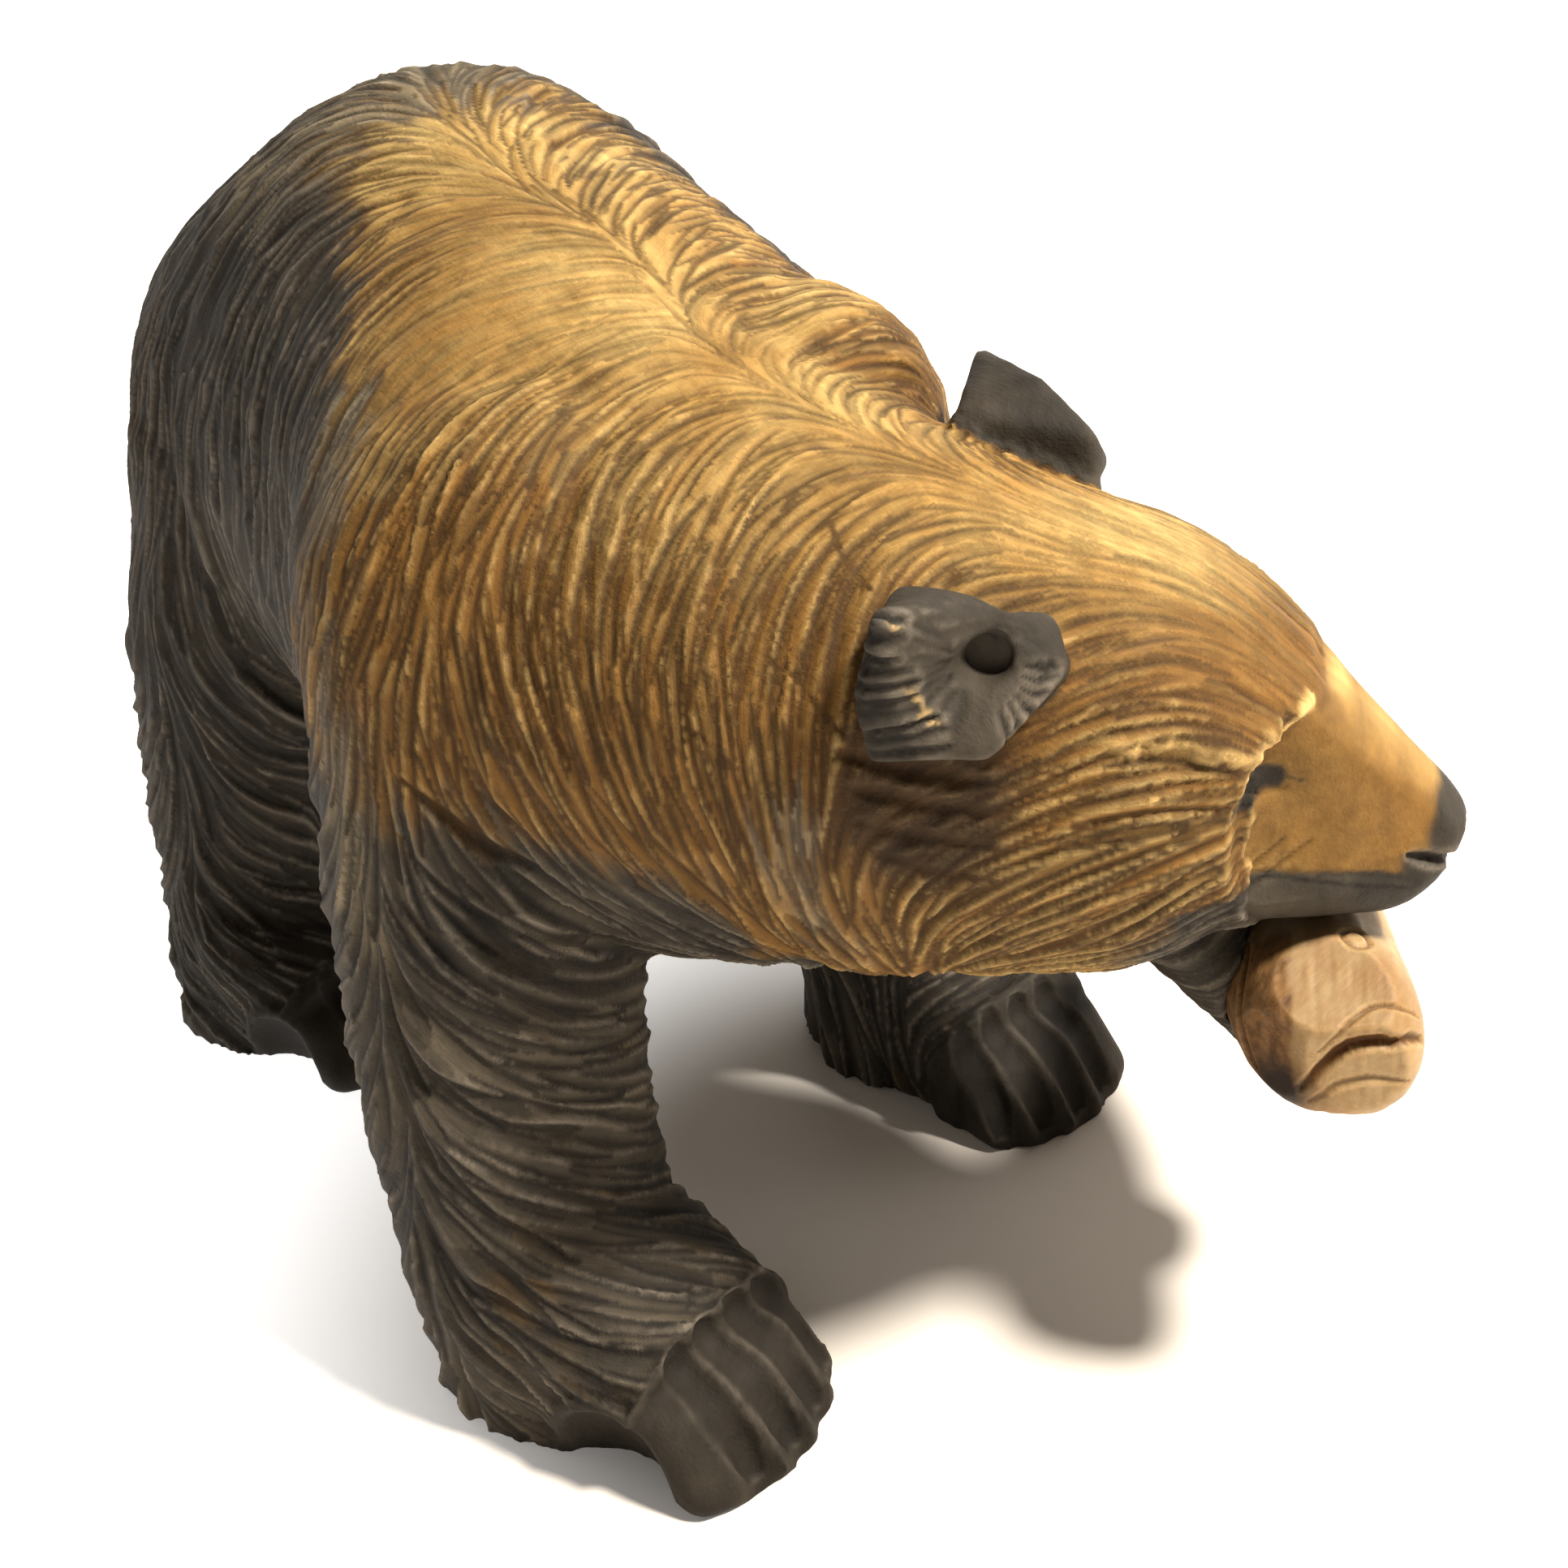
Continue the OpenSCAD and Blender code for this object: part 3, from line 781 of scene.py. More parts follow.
def shape_coarse(mesh):
    """Blends the masses into each other and models the large forms."""
    p = mesh_points(mesh)
    edges = mesh_edges(mesh)
    hood = Neighbours(edges, len(p))
    h = in_place("head", p)
    paws = smoothstep(44, 30, p[:, 2])
    ears = smoothstep(24, 15, np.linalg.norm(h - [-16, -52, 176], axis=1))
    ears = np.maximum(ears, smoothstep(26, 16, np.linalg.norm(h - [-18, 52, 180], axis=1)))
    face = smoothstep(28, 45, h[:, 0]) * (p[:, 2] > 60)
    soft = 1 - 0.9 * np.maximum(np.maximum(paws, ears), face)
    p = smoothed(p, hood, 30, soft)
    p = smoothed(p, hood, 2, 1.0)
    # the ears run into the head above and in front of them
    for side in (-1, 1):
        lift = 0 if side < 0 else 6
        seam = [(-24, 48 * side, 190 + lift), (-10, 45 * side, 190 + lift), (4, 44 * side, 184 + lift),
                (10, 46 * side, 172 + lift)]
        blend = smoothstep(0, 0.6, near_line(p, "head", seam, 9))
        p = hood.settled(p, blend, 40 if side < 0 else 6)
    for side, up in ((-1, 174), (1, 180)):
        # the hole in the ear is a shallow bowl
        head = in_place("head", p)
        off = np.hypot(head[:, 0] + 13, head[:, 2] - up)
        sunk = (off < 9) & (head[:, 1] * side > 36) & (head[:, 1] * side < 47)
        head[:, 1] = np.where(sunk, 47 * side, head[:, 1])
        p = placed("head", head)
        bowl = smoothstep(14, 8, off) * (head[:, 1] * side > 36)
        p = hood.settled(p, bowl, 8)
    set_points(mesh, p)
    clay = Clay(p, mesh_normals(mesh))
    # the hollow behind the shoulder, and the waist
    for side in (-1, 1):
        clay.swell("body", (-2, 80 * side, 175), 40, -3.5)
        clay.swell("body", (-6, 78 * side, 130), 38, -4.0)
        clay.swell("body", (44, 80 * side, 175), 34, 2.5)
        clay.swell("body", (-110, 74 * side, 130), 40, 2.0)
        # side planes of the muzzle, the cheek's plane and the sunk ring behind the brow
        clay.flatten("head", (45, 17 * side, 143), (0.42, 0.87 * side, 0.10), (50, 22 * side, 128), 28, 0.9)
        clay.swell("head", (36, 27 * side, 139), 9, -1.8)
        clay.swell("head", (27, 36 * side, 146), 9, 1.6)
        # the lips flare a little over the fish
        clay.swell("head", (44, 24 * side, 106), 16, 1.2)
        clay.swell("head", (20, 38 * side, 104), 14, 1.0)
    # the bridge is flat on top
    clay.flatten("head", (45, 0, 147.5), (0.55, 0, 0.84), (56, 0, 136), 24, 0.8)
    set_points(mesh, clay.p)
    return hood


def stain(p, h):
    """How charred the wood is, from 0 on honey-coloured wood to 1, before the noise."""
    x, y, z = p.T
    edge = -45 + 75 * np.clip((245 - z) / 35, 0, 1)
    back = smoothstep(edge + 30, edge - 26, x)
    low = 138 - 0.22 * np.clip(x - 60, -40, 60)
    fore = smoothstep(low + 16, low - 16, z) * smoothstep(122, 104, x + 0.25 * np.maximum(60 - z, 0))
    fore = fore * smoothstep(26, 44, np.abs(y - 4))
    paws = smoothstep(84, 70, z)
    under = smoothstep(112, 96, z) * smoothstep(132, 112, x)
    return np.maximum(np.maximum(back, fore), np.maximum(under, paws * (h[:, 0] < 10)))


def paw_bare(p):
    """1 on the smooth part of the paws, ahead of the fur's end, and how far ahead of it in mm."""
    ahead = np.full(len(p), -50.0)
    for x, y, heading, lift, inward in PAWS:
        c, s = math.cos(math.radians(heading)), math.sin(math.radians(heading))
        f = (p[:, 0] - x) * c + (p[:, 1] - y) * s
        side = -(p[:, 0] - x) * s + (p[:, 1] - y) * c
        near = (np.abs(side) < 44) & (f > -40) & (f < 80)
        edge = 24 + 0.55 * np.maximum(p[:, 2] - 18, 0) + 0.004 * side ** 2 + lift
        ahead = np.where(near, np.maximum(ahead, f - edge), ahead)
        scoop = np.sqrt(((f - 29) / 18) ** 2 + ((side + inward * 30) / 13) ** 2 + (p[:, 2] / 22) ** 2)
        ahead = np.where(scoop < 1.15, np.maximum(ahead, 12 * (1.1 - scoop)), ahead)
    ahead = np.where(p[:, 2] > 50, -50.0, ahead)
    return smoothstep(-1, 1, ahead), ahead




def ear_cuts():
    """Short flutes from the ear's rim to its ledge, cuts from the ledge to the hole, and grooves."""
    rim = np.array([(-27, -61, 187), (-31, -62, 179), (-32, -62, 171), (-30, -61, 162)], float)
    ledge = np.array([(-23, -60, 187), (-23, -59, 178), (-21, -58, 170), (-16, -57, 163)], float)
    hole = np.array([-12, -52, 175], float)
    cuts = []
    for k, t in enumerate(np.linspace(0.02, 0.98, 10)):
        uneven = math.sin(2.4 * k)
        a = np.array([np.interp(t * 3, range(4), rim[:, j]) for j in range(3)])
        b = np.array([np.interp(t * 3, range(4), ledge[:, j]) for j in range(3)])
        a[2] += 1.2 * uneven
        b[0] += 1.4 * math.cos(1.7 * k)
        cuts.append(("head", [tuple(a), tuple(b)], 1.6 + 0.5 * uneven, 1.3 - 0.4 * uneven, 1.4, True))
        cuts.append(("head", [tuple(b + (hole - b) * 0.08), tuple(b + (hole - b) * (0.6 + 0.1 * uneven))],
                     1.8 - 0.4 * uneven, 0.7, 1.5, True))
    for end in ((9, -50, 172), (8, -51, 168), (6, -52, 164), (3, -53, 161), (-1, -54, 158), (-6, -55, 156)):
        e = np.array(end, float)
        cuts.append(("head", [tuple(hole + (e - hole) * 0.42), end], 1.5, 1.1, 1.3, True))
    for up in (186, 183, 180):
        line = [(-24, -57, up + 1), (-10, -53, up + 2), (4, -49, up - 2)]
        cuts.append(("head", line, 1.8, 0.5, 1.5, True))
    return cuts


def toe_cuts():
    """Four flutes down the front of each paw."""
    cuts = []
    for x, y, heading, _, inward in PAWS:
        x, y = x - PLACES["body"][0], y - PLACES["body"][1]
        c, s = math.cos(math.radians(heading)), math.sin(math.radians(heading))
        for side in (-1, 0, 1, 2):
            left, back = side * inward * 10.2, 1.7 * side * side
            line = []
            for f, z in ((34 - 1.5 * abs(side), 30), (41 - back, 25), (48 - back, 15), (53 - back, 3)):
                spread = left * (0.92 + 0.10 * (f - 34) / 18)
                line.append((x + f * c - spread * s, y + f * s + spread * c, z))
            cuts.append(("body", line, 4.8, 1.9, 2.2, False))
    return cuts


def node_share(mesh, names):
    """The share of each point's faces that belong to the named nodes."""
    quads, node = mesh_quads(mesh), face_nodes(mesh)
    wanted = np.isin(node, [BEAR_NODES.index(name) for name in names])
    n = len(mesh.vertices)
    hits = np.bincount(quads.ravel(), np.repeat(wanted, 4), n)
    return hits / np.maximum(np.bincount(quads.ravel(), minlength=n), 1)


def fur_strokes(p, n, way, tree, ears):
    """The strokes of the fur all over the bear, as two batches: long clumps, and the strokes in them."""
    h = in_place("head", p)
    neck = in_place("neck", p)
    bare = (muzzle_edge(h) > -1.5) & (p[:, 2] > 60)
    smooth_paw = paw_bare(p)[0] > 0.5
    allowed = ~bare & ~smooth_paw & (p[:, 2] > 2.5) & (ears < 0.5)
    legs = smoothstep(160, 125, p[:, 2]) * (p[:, 0] < 118)
    rear = smoothstep(26, -20, p[:, 0])
    broad = np.maximum(legs, rear * smoothstep(252, 236, p[:, 2]) * 0.85)
    cheek = smoothstep(-34, -22, h[:, 0]) * smoothstep(158, 148, p[:, 2])
    cheek = cheek * (np.abs(h[:, 1]) > 20) * (h[:, 0] < 60)
    crown = smoothstep(26, 10, np.abs(neck[:, 1])) * (p[:, 0] > 20)
    # the strokes are shallow along the back, on the hump and on the forehead
    calm = np.maximum(0.5 * crown, near_zones(p, [
        ("body", [(-16, -14, 244), (12, -20, 233), (45, -25, 222)], 26, 1.0),
        ("body", [(40, -30, 216), (34, -52, 212)], 20, 1.0),
        ("head", [(-8, -4, 186), (15, -4, 176), (38, -4, 160)], 22, 1.0)]))
    calm = np.minimum(1.6 * calm, 1)
    batches = []
    spacings = (np.full(len(p), 24.0), 6.0 + 2.0 * np.round(broad * 2) / 2)
    for kind, (spacing, reach) in enumerate(zip(spacings, ((55, 90), (20, 38)))):
        seeds = spread_seeds(p, spacing, allowed, SEED + kind)
        count = len(seeds)
        g = np.random.default_rng(SEED + 10 + kind)
        locks = value_noise(p[seeds], 20, 3) * 0.24 + value_noise(p[seeds], 55, 4) * 0.12
        locks = locks * (1 - 0.6 * cheek[seeds])
        turn = locks + g.normal(0, 0.07, count)
        length = g.uniform(*reach, count) * (1 + 0.35 * np.maximum(broad, cheek)[seeds])
        at, up = traced((p, n, way, tree), p[seeds], turn, length, 0.5)
        big = broad[seeds]
        if kind == 0:
            width = g.uniform(6.0, 9.0, count)
            depth = 2.0 * g.uniform(0.5, 1.0, count) * (0.5 + 0.5 * big)
            power = np.full(count, 1.8)
        else:
            depth = (1.0 + 0.8 * big + 0.7 * cheek[seeds]) * g.uniform(0.6, 1.3, count)
            depth = depth * (1 - 0.72 * calm[seeds]) * (1 + 0.4 * smoothstep(0, -0.6, n[seeds, 2]))
            width = (2.0 + 1.3 * big) * g.uniform(0.8, 1.2, count)
            power = g.uniform(1.1, 1.9, count)
        deep = stroke_depth(at.shape[1], depth, SEED + 20 + kind)
        half = width[:, None] * (deep / depth[:, None]) ** 0.6
        hand = value_noise(p[seeds], 32, 5) + g.normal(0, 0.3, count)
        lean = np.where(hand > 0, 1, -1) * g.uniform(0.25, 0.75, count)
        batches.append((at, up, half, deep, lean, power))
    return batches


def coarse_bear():
    """The CAD solids of the bear as one closed quad mesh, whose faces know their node."""
    points, faces, owner = joined_nodes(BEAR_NODES)
    tree = BVHTree.FromPolygons(points.tolist(), faces.tolist())
    mesh = remeshed(points, faces, BEAR_VOXEL)
    centres = read(mesh.polygons, "center", np.float32, 3)
    set_face_nodes(mesh, [owner[tree.find_nearest(c)[2]] for c in centres])
    return mesh


def cut_clumps(mesh, clumps, ears, hood):
    """Cuts the long clumps into the coarse surface, except on the muzzle, the ears and the toes."""
    p, n = mesh_points(mesh), mesh_normals(mesh)
    deep, _ = carved(p, n, clumps)
    deep = deep * (1 - smoothstep(-6, 0, muzzle_edge(in_place("head", p))) * (p[:, 2] > 60))
    deep = deep * (1 - smoothstep(0, 0.5, ears)) * (1 - paw_bare(p)[0])
    deep = hood.mean(deep, 2)
    set_points(mesh, p - n * (deep - 0.5 * (deep > 0.01))[:, None])


def build_bear():
    """The carved bear as one mesh, and what the colours need to know of each of its points."""
    mesh = coarse_bear()
    hood = shape_coarse(mesh)

    # the fur's course and the strokes, worked out on the coarse surface
    p, n = mesh_points(mesh), mesh_normals(mesh)
    tree = point_tree(p)
    way = fur_directions(p, n, fur_guides(n, tree), GUIDE_REACH)
    ears = node_share(mesh, ["right_ear", "left_ear"])
    clumps, strokes = fur_strokes(p, n, way, tree, ears)
    cracks = [(place, line, *CRACK_CUT, False) for place, line in CRACKS]
    own_cuts = drawn_cuts(CUTS + cracks + toe_cuts() + ear_cuts(), p, n, tree)
    cut_clumps(mesh, clumps, ears, hood)

    # everything else is cut into the fine surface
    fine = subdivided(mesh)
    q, m = mesh_points(fine), mesh_normals(fine)
    hq = in_place("head", q)
    jag = value_noise(q, 2.4, 41) * 1.3 + value_noise(q, 7, 42) * 1.2
    ahead = muzzle_edge(hq) + jag * smoothstep(150, 143, q[:, 2])
    bare = smoothstep(-1.0, 0.5, ahead) * (q[:, 2] > 60)
    bare_paw, paw_ahead = paw_bare(q)
    ear_share = node_share(fine, ["right_ear", "left_ear"])
    keep = (1 - bare) * (1 - bare_paw) * (1 - smoothstep(0, 0.6, ear_share))
    cut, stroke = carved(q, m, strokes)
    cut = cut * keep
    across, off = across_stroke(q, m, stroke, strokes)
    across = across * keep
    # a painted shadow line: dark along the deepest line of each stroke, where its steep side falls into
    # shade
    line = np.clip(1 - off / 1.0, 0, 1) * np.clip(cut / 0.7, 0, 1)
    own, _ = carved(q, m, own_cuts)
    total = np.maximum(cut, own)
    around = Neighbours(mesh_edges(fine), len(q))
    total = 0.8 * total + 0.2 * around.mean(total)
    # the fur stands proud of the muzzle and of the paws
    side = np.abs(hq[:, 1])
    step = smoothstep(-0.8, 0.8, ahead) * smoothstep(26, 4, ahead) * (q[:, 2] > 60)
    step = step * smoothstep(14, 24, side) * smoothstep(98, 112, q[:, 2])
    ledge = smoothstep(-0.7, 0.7, paw_ahead) * smoothstep(16, 3, paw_ahead)
    over = hq[:, 2] - np.interp(hq[:, 0], *BROW_EDGE) + jag * 1.3
    brow = smoothstep(-0.6, 0.6, over) * smoothstep(12, 2, over) * (side > 24) * (q[:, 2] > 60)
    brow = brow * smoothstep(0, 12, hq[:, 0]) * (1 - bare)
    marks = value_noise(hq * (0.4, 1.0, 0.22), 3.0, 51) * bare
    total = total + 1.7 * step + 0.5 * ledge - 0.45 * keep - 1.0 * brow + 0.13 * marks
    brow = smoothstep(1.2, 0.1, np.abs(over)) * (side > 24) * smoothstep(0, 12, hq[:, 0]) * (1 - bare)
    q = q - m * total[:, None]
    q[:, 2] = np.maximum(q[:, 2], 0.0)
    set_points(fine, q)
    g = np.random.default_rng(SEED + 5)
    tone = np.where(stroke >= 0, g.uniform(-1, 1, len(strokes[0]) + 1)[stroke], 0.0) * keep + 0.5 * marks
    return fine, {"tone": tone, "cut": cut, "own": own, "bare": bare, "ears": ear_share, "ahead": ahead,
                  "paw": bare_paw, "across": across, "line": line, "brow": brow}


def add_value(mesh, name, values):
    attribute = mesh.attributes.new(name, "FLOAT", "POINT")
    attribute.data.foreach_set("value", values.astype(np.float32))


def split_into_pieces(mesh, values):
    """One closed object per CAD node. The normals of the whole bear are kept, so no seam shows."""
    quads, node = mesh_quads(mesh), face_nodes(mesh)
    points, normals = mesh_points(mesh), mesh_normals(mesh)
    pieces = []
    for i, name in enumerate(BEAR_NODES):
        used, again = np.unique(quads[node == i], return_inverse=True)
        own_quads = again.reshape(-1, 4)
        p, walls, caps, rim = inward_caps(points[used], normals[used], own_quads)
        made = array_mesh("carved_" + name, p * MM, np.concatenate([own_quads, walls]), caps)
        extra = len(p) - len(used)
        shown = np.concatenate([normals[used], normals[used][rim], np.zeros((extra - len(rim), 3))])
        shown[len(used) + len(rim):] = (0, 0, 1)
        made.normals_split_custom_set_from_vertices(shown.tolist())
        for key, v in values.items():
            add_value(made, key, np.concatenate([v[used], np.zeros(extra)]))
        ob = bpy.data.objects.new("carved_" + name, made)
        bpy.context.scene.collection.objects.link(ob)
        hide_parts(name)
        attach(ob, "root")
        pieces.append(ob)
    return pieces


# How far under the surface the caps between pieces lie, in mm.
CAP_DEPTH = 3.0


def inward_caps(points, normals, quads):
    """Points, walls and caps that close a piece's open edges under the surface, out of sight."""
    n = len(points)
    ends = np.stack([quads, np.roll(quads, -1, 1)], 2).reshape(-1, 2).astype(np.int64)
    key, back = ends[:, 0] * n + ends[:, 1], ends[:, 1] * n + ends[:, 0]
    open_ends = ends[~np.isin(key, back)]
    rim, again = np.unique(open_ends, return_inverse=True)
    again = again.reshape(-1, 2)
    inner = points[rim] - CAP_DEPTH * normals[rim]
    label = connected(again, len(rim))
    loops, loop = np.unique(label, return_inverse=True)
    share = np.bincount(loop)
    middle = gathered(inner, loop, len(loops)) / share[:, None]
    walls = np.stack([open_ends[:, 1], open_ends[:, 0], n + again[:, 0], n + again[:, 1]], 1)
    caps = np.stack([n + again[:, 1], n + again[:, 0], n + len(rim) + loop[again[:, 0]]], 1)
    return np.concatenate([points, inner, middle]), walls, caps, rim


# ---------------------------------------------------------------- materials


def socket_colour(text):
    """A linear colour from an sRGB hex colour."""
    rgb = [int(text[i:i + 2], 16) / 255 for i in (1, 3, 5)]
    return tuple(c / 12.92 if c <= 0.04045 else ((c + 0.055) / 1.055) ** 2.4 for c in rgb) + (1.0,)


class Nodes:
    """Short names for the shader nodes that the materials use."""

    def __init__(self, name):
        self.material = bpy.data.materials.new(name)
        self.material.use_nodes = True
        self.tree = self.material.node_tree
        self.shader = self.tree.nodes["Principled BSDF"]

    def link(self, a, b):
        self.tree.links.new(a, b)

    def add(self, kind, **values):
        node = self.tree.nodes.new(kind)
        for key, value in values.items():
            setattr(node, key, value)
        return node

    def value(self, name):
        node = self.add("ShaderNodeAttribute", attribute_name=name)
        return node.outputs["Fac"]

    def math(self, operation, a, b=0.0, clamp=False):
        node = self.add("ShaderNodeMath", operation=operation, use_clamp=clamp)
        for socket, v in zip(node.inputs, (a, b)):
            if isinstance(v, (int, float)):
                socket.default_value = v
            else:
                self.link(v, socket)
        return node.outputs[0]

    def mix(self, factor, a, b, blend="MIX"):
        node = self.add("ShaderNodeMix", data_type="RGBA", blend_type=blend)
        for socket, v in ((node.inputs[0], factor), (node.inputs[6], a), (node.inputs[7], b)):
            if isinstance(v, (int, float, tuple)):
                socket.default_value = v
            else:
                self.link(v, socket)
        return node.outputs[2]

    def shades(self, value, low, high, dark, light):
        """From one hex colour to another, as a value goes from low to high."""
        return self.mix(self.spread(value, low, high), socket_colour(dark), socket_colour(light))

    def tinted(self, colour, name, strength, tint):
        """A colour that turns to a hex colour where a stored value is high."""
        share = self.math("MULTIPLY", self.value(name), strength, True)
        return self.mix(share, colour, socket_colour(tint))

    def spread(self, value, low, high):
        node = self.add("ShaderNodeMapRange")
        self.link(value, node.inputs[0])
        node.inputs[1].default_value = low
        node.inputs[2].default_value = high
        return node.outputs[0]

    def noise(self, scale, stretch=(1, 1, 1), detail=3.0, rough=0.5):
        where = self.add("ShaderNodeTexCoord").outputs["Object"]
        map_ = self.add("ShaderNodeMapping")
        map_.inputs["Scale"].default_value = stretch
        self.link(where, map_.inputs["Vector"])
        return self.noise_at(map_.outputs[0], scale, detail, rough)

    def noise_at(self, vector, scale, detail, rough):
        node = self.add("ShaderNodeTexNoise")
        node.inputs["Scale"].default_value = scale
        node.inputs["Detail"].default_value = detail
        node.inputs["Roughness"].default_value = rough
        self.link(vector, node.inputs["Vector"])
        return node.outputs[0]

    def fibres(self):
        """Fine streaks along each stroke, from how far a point lies to the side of its middle."""
        where = self.add("ShaderNodeTexCoord").outputs["Object"]
        parts = self.add("ShaderNodeSeparateXYZ")
        self.link(where, parts.inputs[0])
        joined = self.add("ShaderNodeCombineXYZ")
        self.link(self.math("MULTIPLY", self.value("across"), 1.3), joined.inputs[0])
        self.link(self.math("MULTIPLY", self.math("ADD", parts.outputs[0], parts.outputs[1]), 130.0),
                  joined.inputs[1])
        self.link(self.math("MULTIPLY", parts.outputs[2], 130.0), joined.inputs[2])
        return self.noise_at(joined.outputs[0], 1.0, 3.0, 0.65)

    def bump(self, height, distance, strength=1.0):
        node = self.add("ShaderNodeBump")
        node.inputs["Distance"].default_value = distance
        node.inputs["Strength"].default_value = strength
        self.link(height, node.inputs["Height"])
        self.link(node.outputs[0], self.shader.inputs["Normal"])


def carved_wood():
    """Honey-coloured wood, with a charred stain where the char value says so."""
    k = Nodes("carved_wood")
    grain = k.noise(330, (0.10, 1, 1), 4.0, 0.6)
    patches = k.noise(24, (1, 1, 1), 4.0, 0.6)
    fibres = k.fibres()
    honey = k.shades(patches, 0.36, 0.66, "#967239", "#b89c60")
    # brown: partly a brown stain, partly painted shade on the sides that face away from up and under the
    # ear
    honey = k.mix(k.value("brown"), honey, socket_colour("#6e4e22"))
    honey = k.mix(k.spread(grain, 0.35, 0.72), k.mix(0.35, honey, socket_colour("#5f401b")), honey)
    # painted shade in the grooves, cuts and hollows, with the dark marks; the ridges lighter, partly from
    # wear and partly as a painted highlight
    honey = k.tinted(honey, "shade_and_dark_marks", 0.76, "#2e1c0a")
    honey = k.tinted(honey, "edge", 0.45, "#d4b474")
    char = k.shades(patches, 0.3, 0.7, "#2a2620", "#484034")
    # the charred wood gets the same painted shade in its grooves and hollows, and ridges lighter partly
    # from wear and partly as a painted highlight
    char = k.tinted(char, "shade_and_dark_marks", 0.7, "#0d0b0a")
    char = k.tinted(char, "edge", 0.5, "#8a7f70")
    colour = k.mix(k.value("char"), honey, char)
    # the grey wood also gets the painted shade in its grooves
    grey = k.tinted(socket_colour("#7a6d55"), "shade_and_dark_marks", 0.8, "#352f28")
    colour = k.mix(k.value("grey"), colour, grey)
    # pale edges, with a painted highlight on the bare wood that faces up
    colour = k.mix(k.value("pale"), colour, socket_colour("#d2ad6c"))
    tone = k.spread(k.value("tone"), -1, 1)
    colour = k.mix(0.45, colour, k.mix(tone, (0.12, 0.12, 0.12, 1), (0.88, 0.88, 0.88, 1)), "OVERLAY")
    streak = k.mix(k.spread(fibres, 0.3, 0.7), (0.30, 0.30, 0.30, 1), (0.68, 0.68, 0.68, 1))
    colour = k.mix(0.55, colour, streak, "OVERLAY")
    k.link(colour, k.shader.inputs["Base Color"])
    k.shader.inputs["Roughness"].default_value = 0.7
    k.shader.inputs["Specular IOR Level"].default_value = 0.14
    k.bump(k.math("ADD", fibres, k.noise(1100, (0.15, 1, 1), 4.0, 0.65)), 0.0004, 0.6)
    return k.material


def salmon_wood():
    """Pale bare wood with brown toolmarked faces and a scorched corner."""
    k = Nodes("salmon_wood")
    grain = k.noise(420, (1, 0.12, 1), 4.0, 0.6)
    patches = k.noise(30, (1, 1, 1), 4.0, 0.6)
    pale = k.shades(patches, 0.36, 0.66, "#876a42", "#a58f68")
    pale = k.mix(k.spread(grain, 0.35, 0.72), k.mix(0.4, pale, socket_colour("#7a4f24")), pale)
    pale = k.mix(k.value("brown"), pale, k.shades(grain, 0.4, 0.6, "#4c3016", "#74502b"))
    # painted shade in the cuts and hollows; the ridges lighter
    pale = k.mix(k.value("shade_and_dark_marks"), pale, socket_colour("#50300f"))
    pale = k.tinted(pale, "edge", 0.6, "#d4ae7c")
    pale = k.mix(k.value("char"), pale, socket_colour("#241810"))
    k.link(pale, k.shader.inputs["Base Color"])
    k.shader.inputs["Roughness"].default_value = 0.55
    k.shader.inputs["Specular IOR Level"].default_value = 0.2
    k.bump(k.noise(1100, (1, 0.15, 1), 4.0, 0.65), 0.0003, 0.5)
    return k.material


def from_side(h, line, radius):
    """Like near_line, but seen from the side of the head, so that both sides count."""
    flat = np.stack([h[:, 0], h[:, 2]], 1)
    d, _ = path_distance(flat, np.array(line, float))
    return np.clip(1 - d / radius, 0, 1) * (np.abs(h[:, 1]) > 10)


def face_marks(mesh, p, h):
    """How far a point belongs to the charred lips and nose, to the eye, and to the crack along the lip."""
    lip = np.interp(h[:, 0], (14, 22, 28, 40, 52, 62, 70), (118, 118, 118, 117, 114, 111, 110))
    lip = smoothstep(0.4, -0.8, h[:, 2] - lip + value_noise(p, 4, 15) * 0.8) * smoothstep(14, 19, h[:, 0])
    front = smoothstep(62.5, 65, h[:, 0] + value_noise(p, 4, 16) * 0.8 - 0.2 * np.maximum(h[:, 2] - 119, 0))
    front = np.maximum(front, smoothstep(57, 60, h[:, 0]) * smoothstep(116.5, 114.5, h[:, 2]))
    corner = np.clip(side_bump(h, 22, 100, 22) * 1.6, 0, 1)
    mouth = np.maximum(np.maximum(lip, front), corner) * (h[:, 0] > 0) * (h[:, 2] > 60)
    mouth = np.maximum(mouth, node_share(mesh, ["lower_jaw"]))
    eye = from_side(h, [(30.5, 134.5), (32.0, 136.8), (35.0, 136.3)], 3.2)
    eye = np.maximum(eye, 0.35 * from_side(h, [(35, 136.5), (41, 134.5)], 0.8))
    return mouth, eye, from_side(h, [(20, 119), (26, 117), (36, 116), (46, 113), (60, 108)], 0.7)


def weathered(p, noise, tone):
    """Grey on the rump's top, the shoulder's rear edge and the throat."""
    grey = 0.75 * bump(np.linalg.norm((p - (-62, 0, 252)) * (1, 0.7, 1), axis=1), 60)
    grey = np.maximum(grey, near_zones(p, [
        ("body", [(30, -64, 204), (38, -74, 185), (46, -86, 150), (52, -94, 110)], 15, 1.0),
        ("body", [(34, 64, 204), (42, 74, 185), (50, 86, 150)], 13, 0.8),
        ("neck", [(18, -54, 140), (19, -54, 118), (19, -48, 104)], 15, 0.55)]))
    return np.clip(smoothstep(0.25, 0.85, grey + noise * 0.9 + tone * 0.25), 0, 1) * 0.75


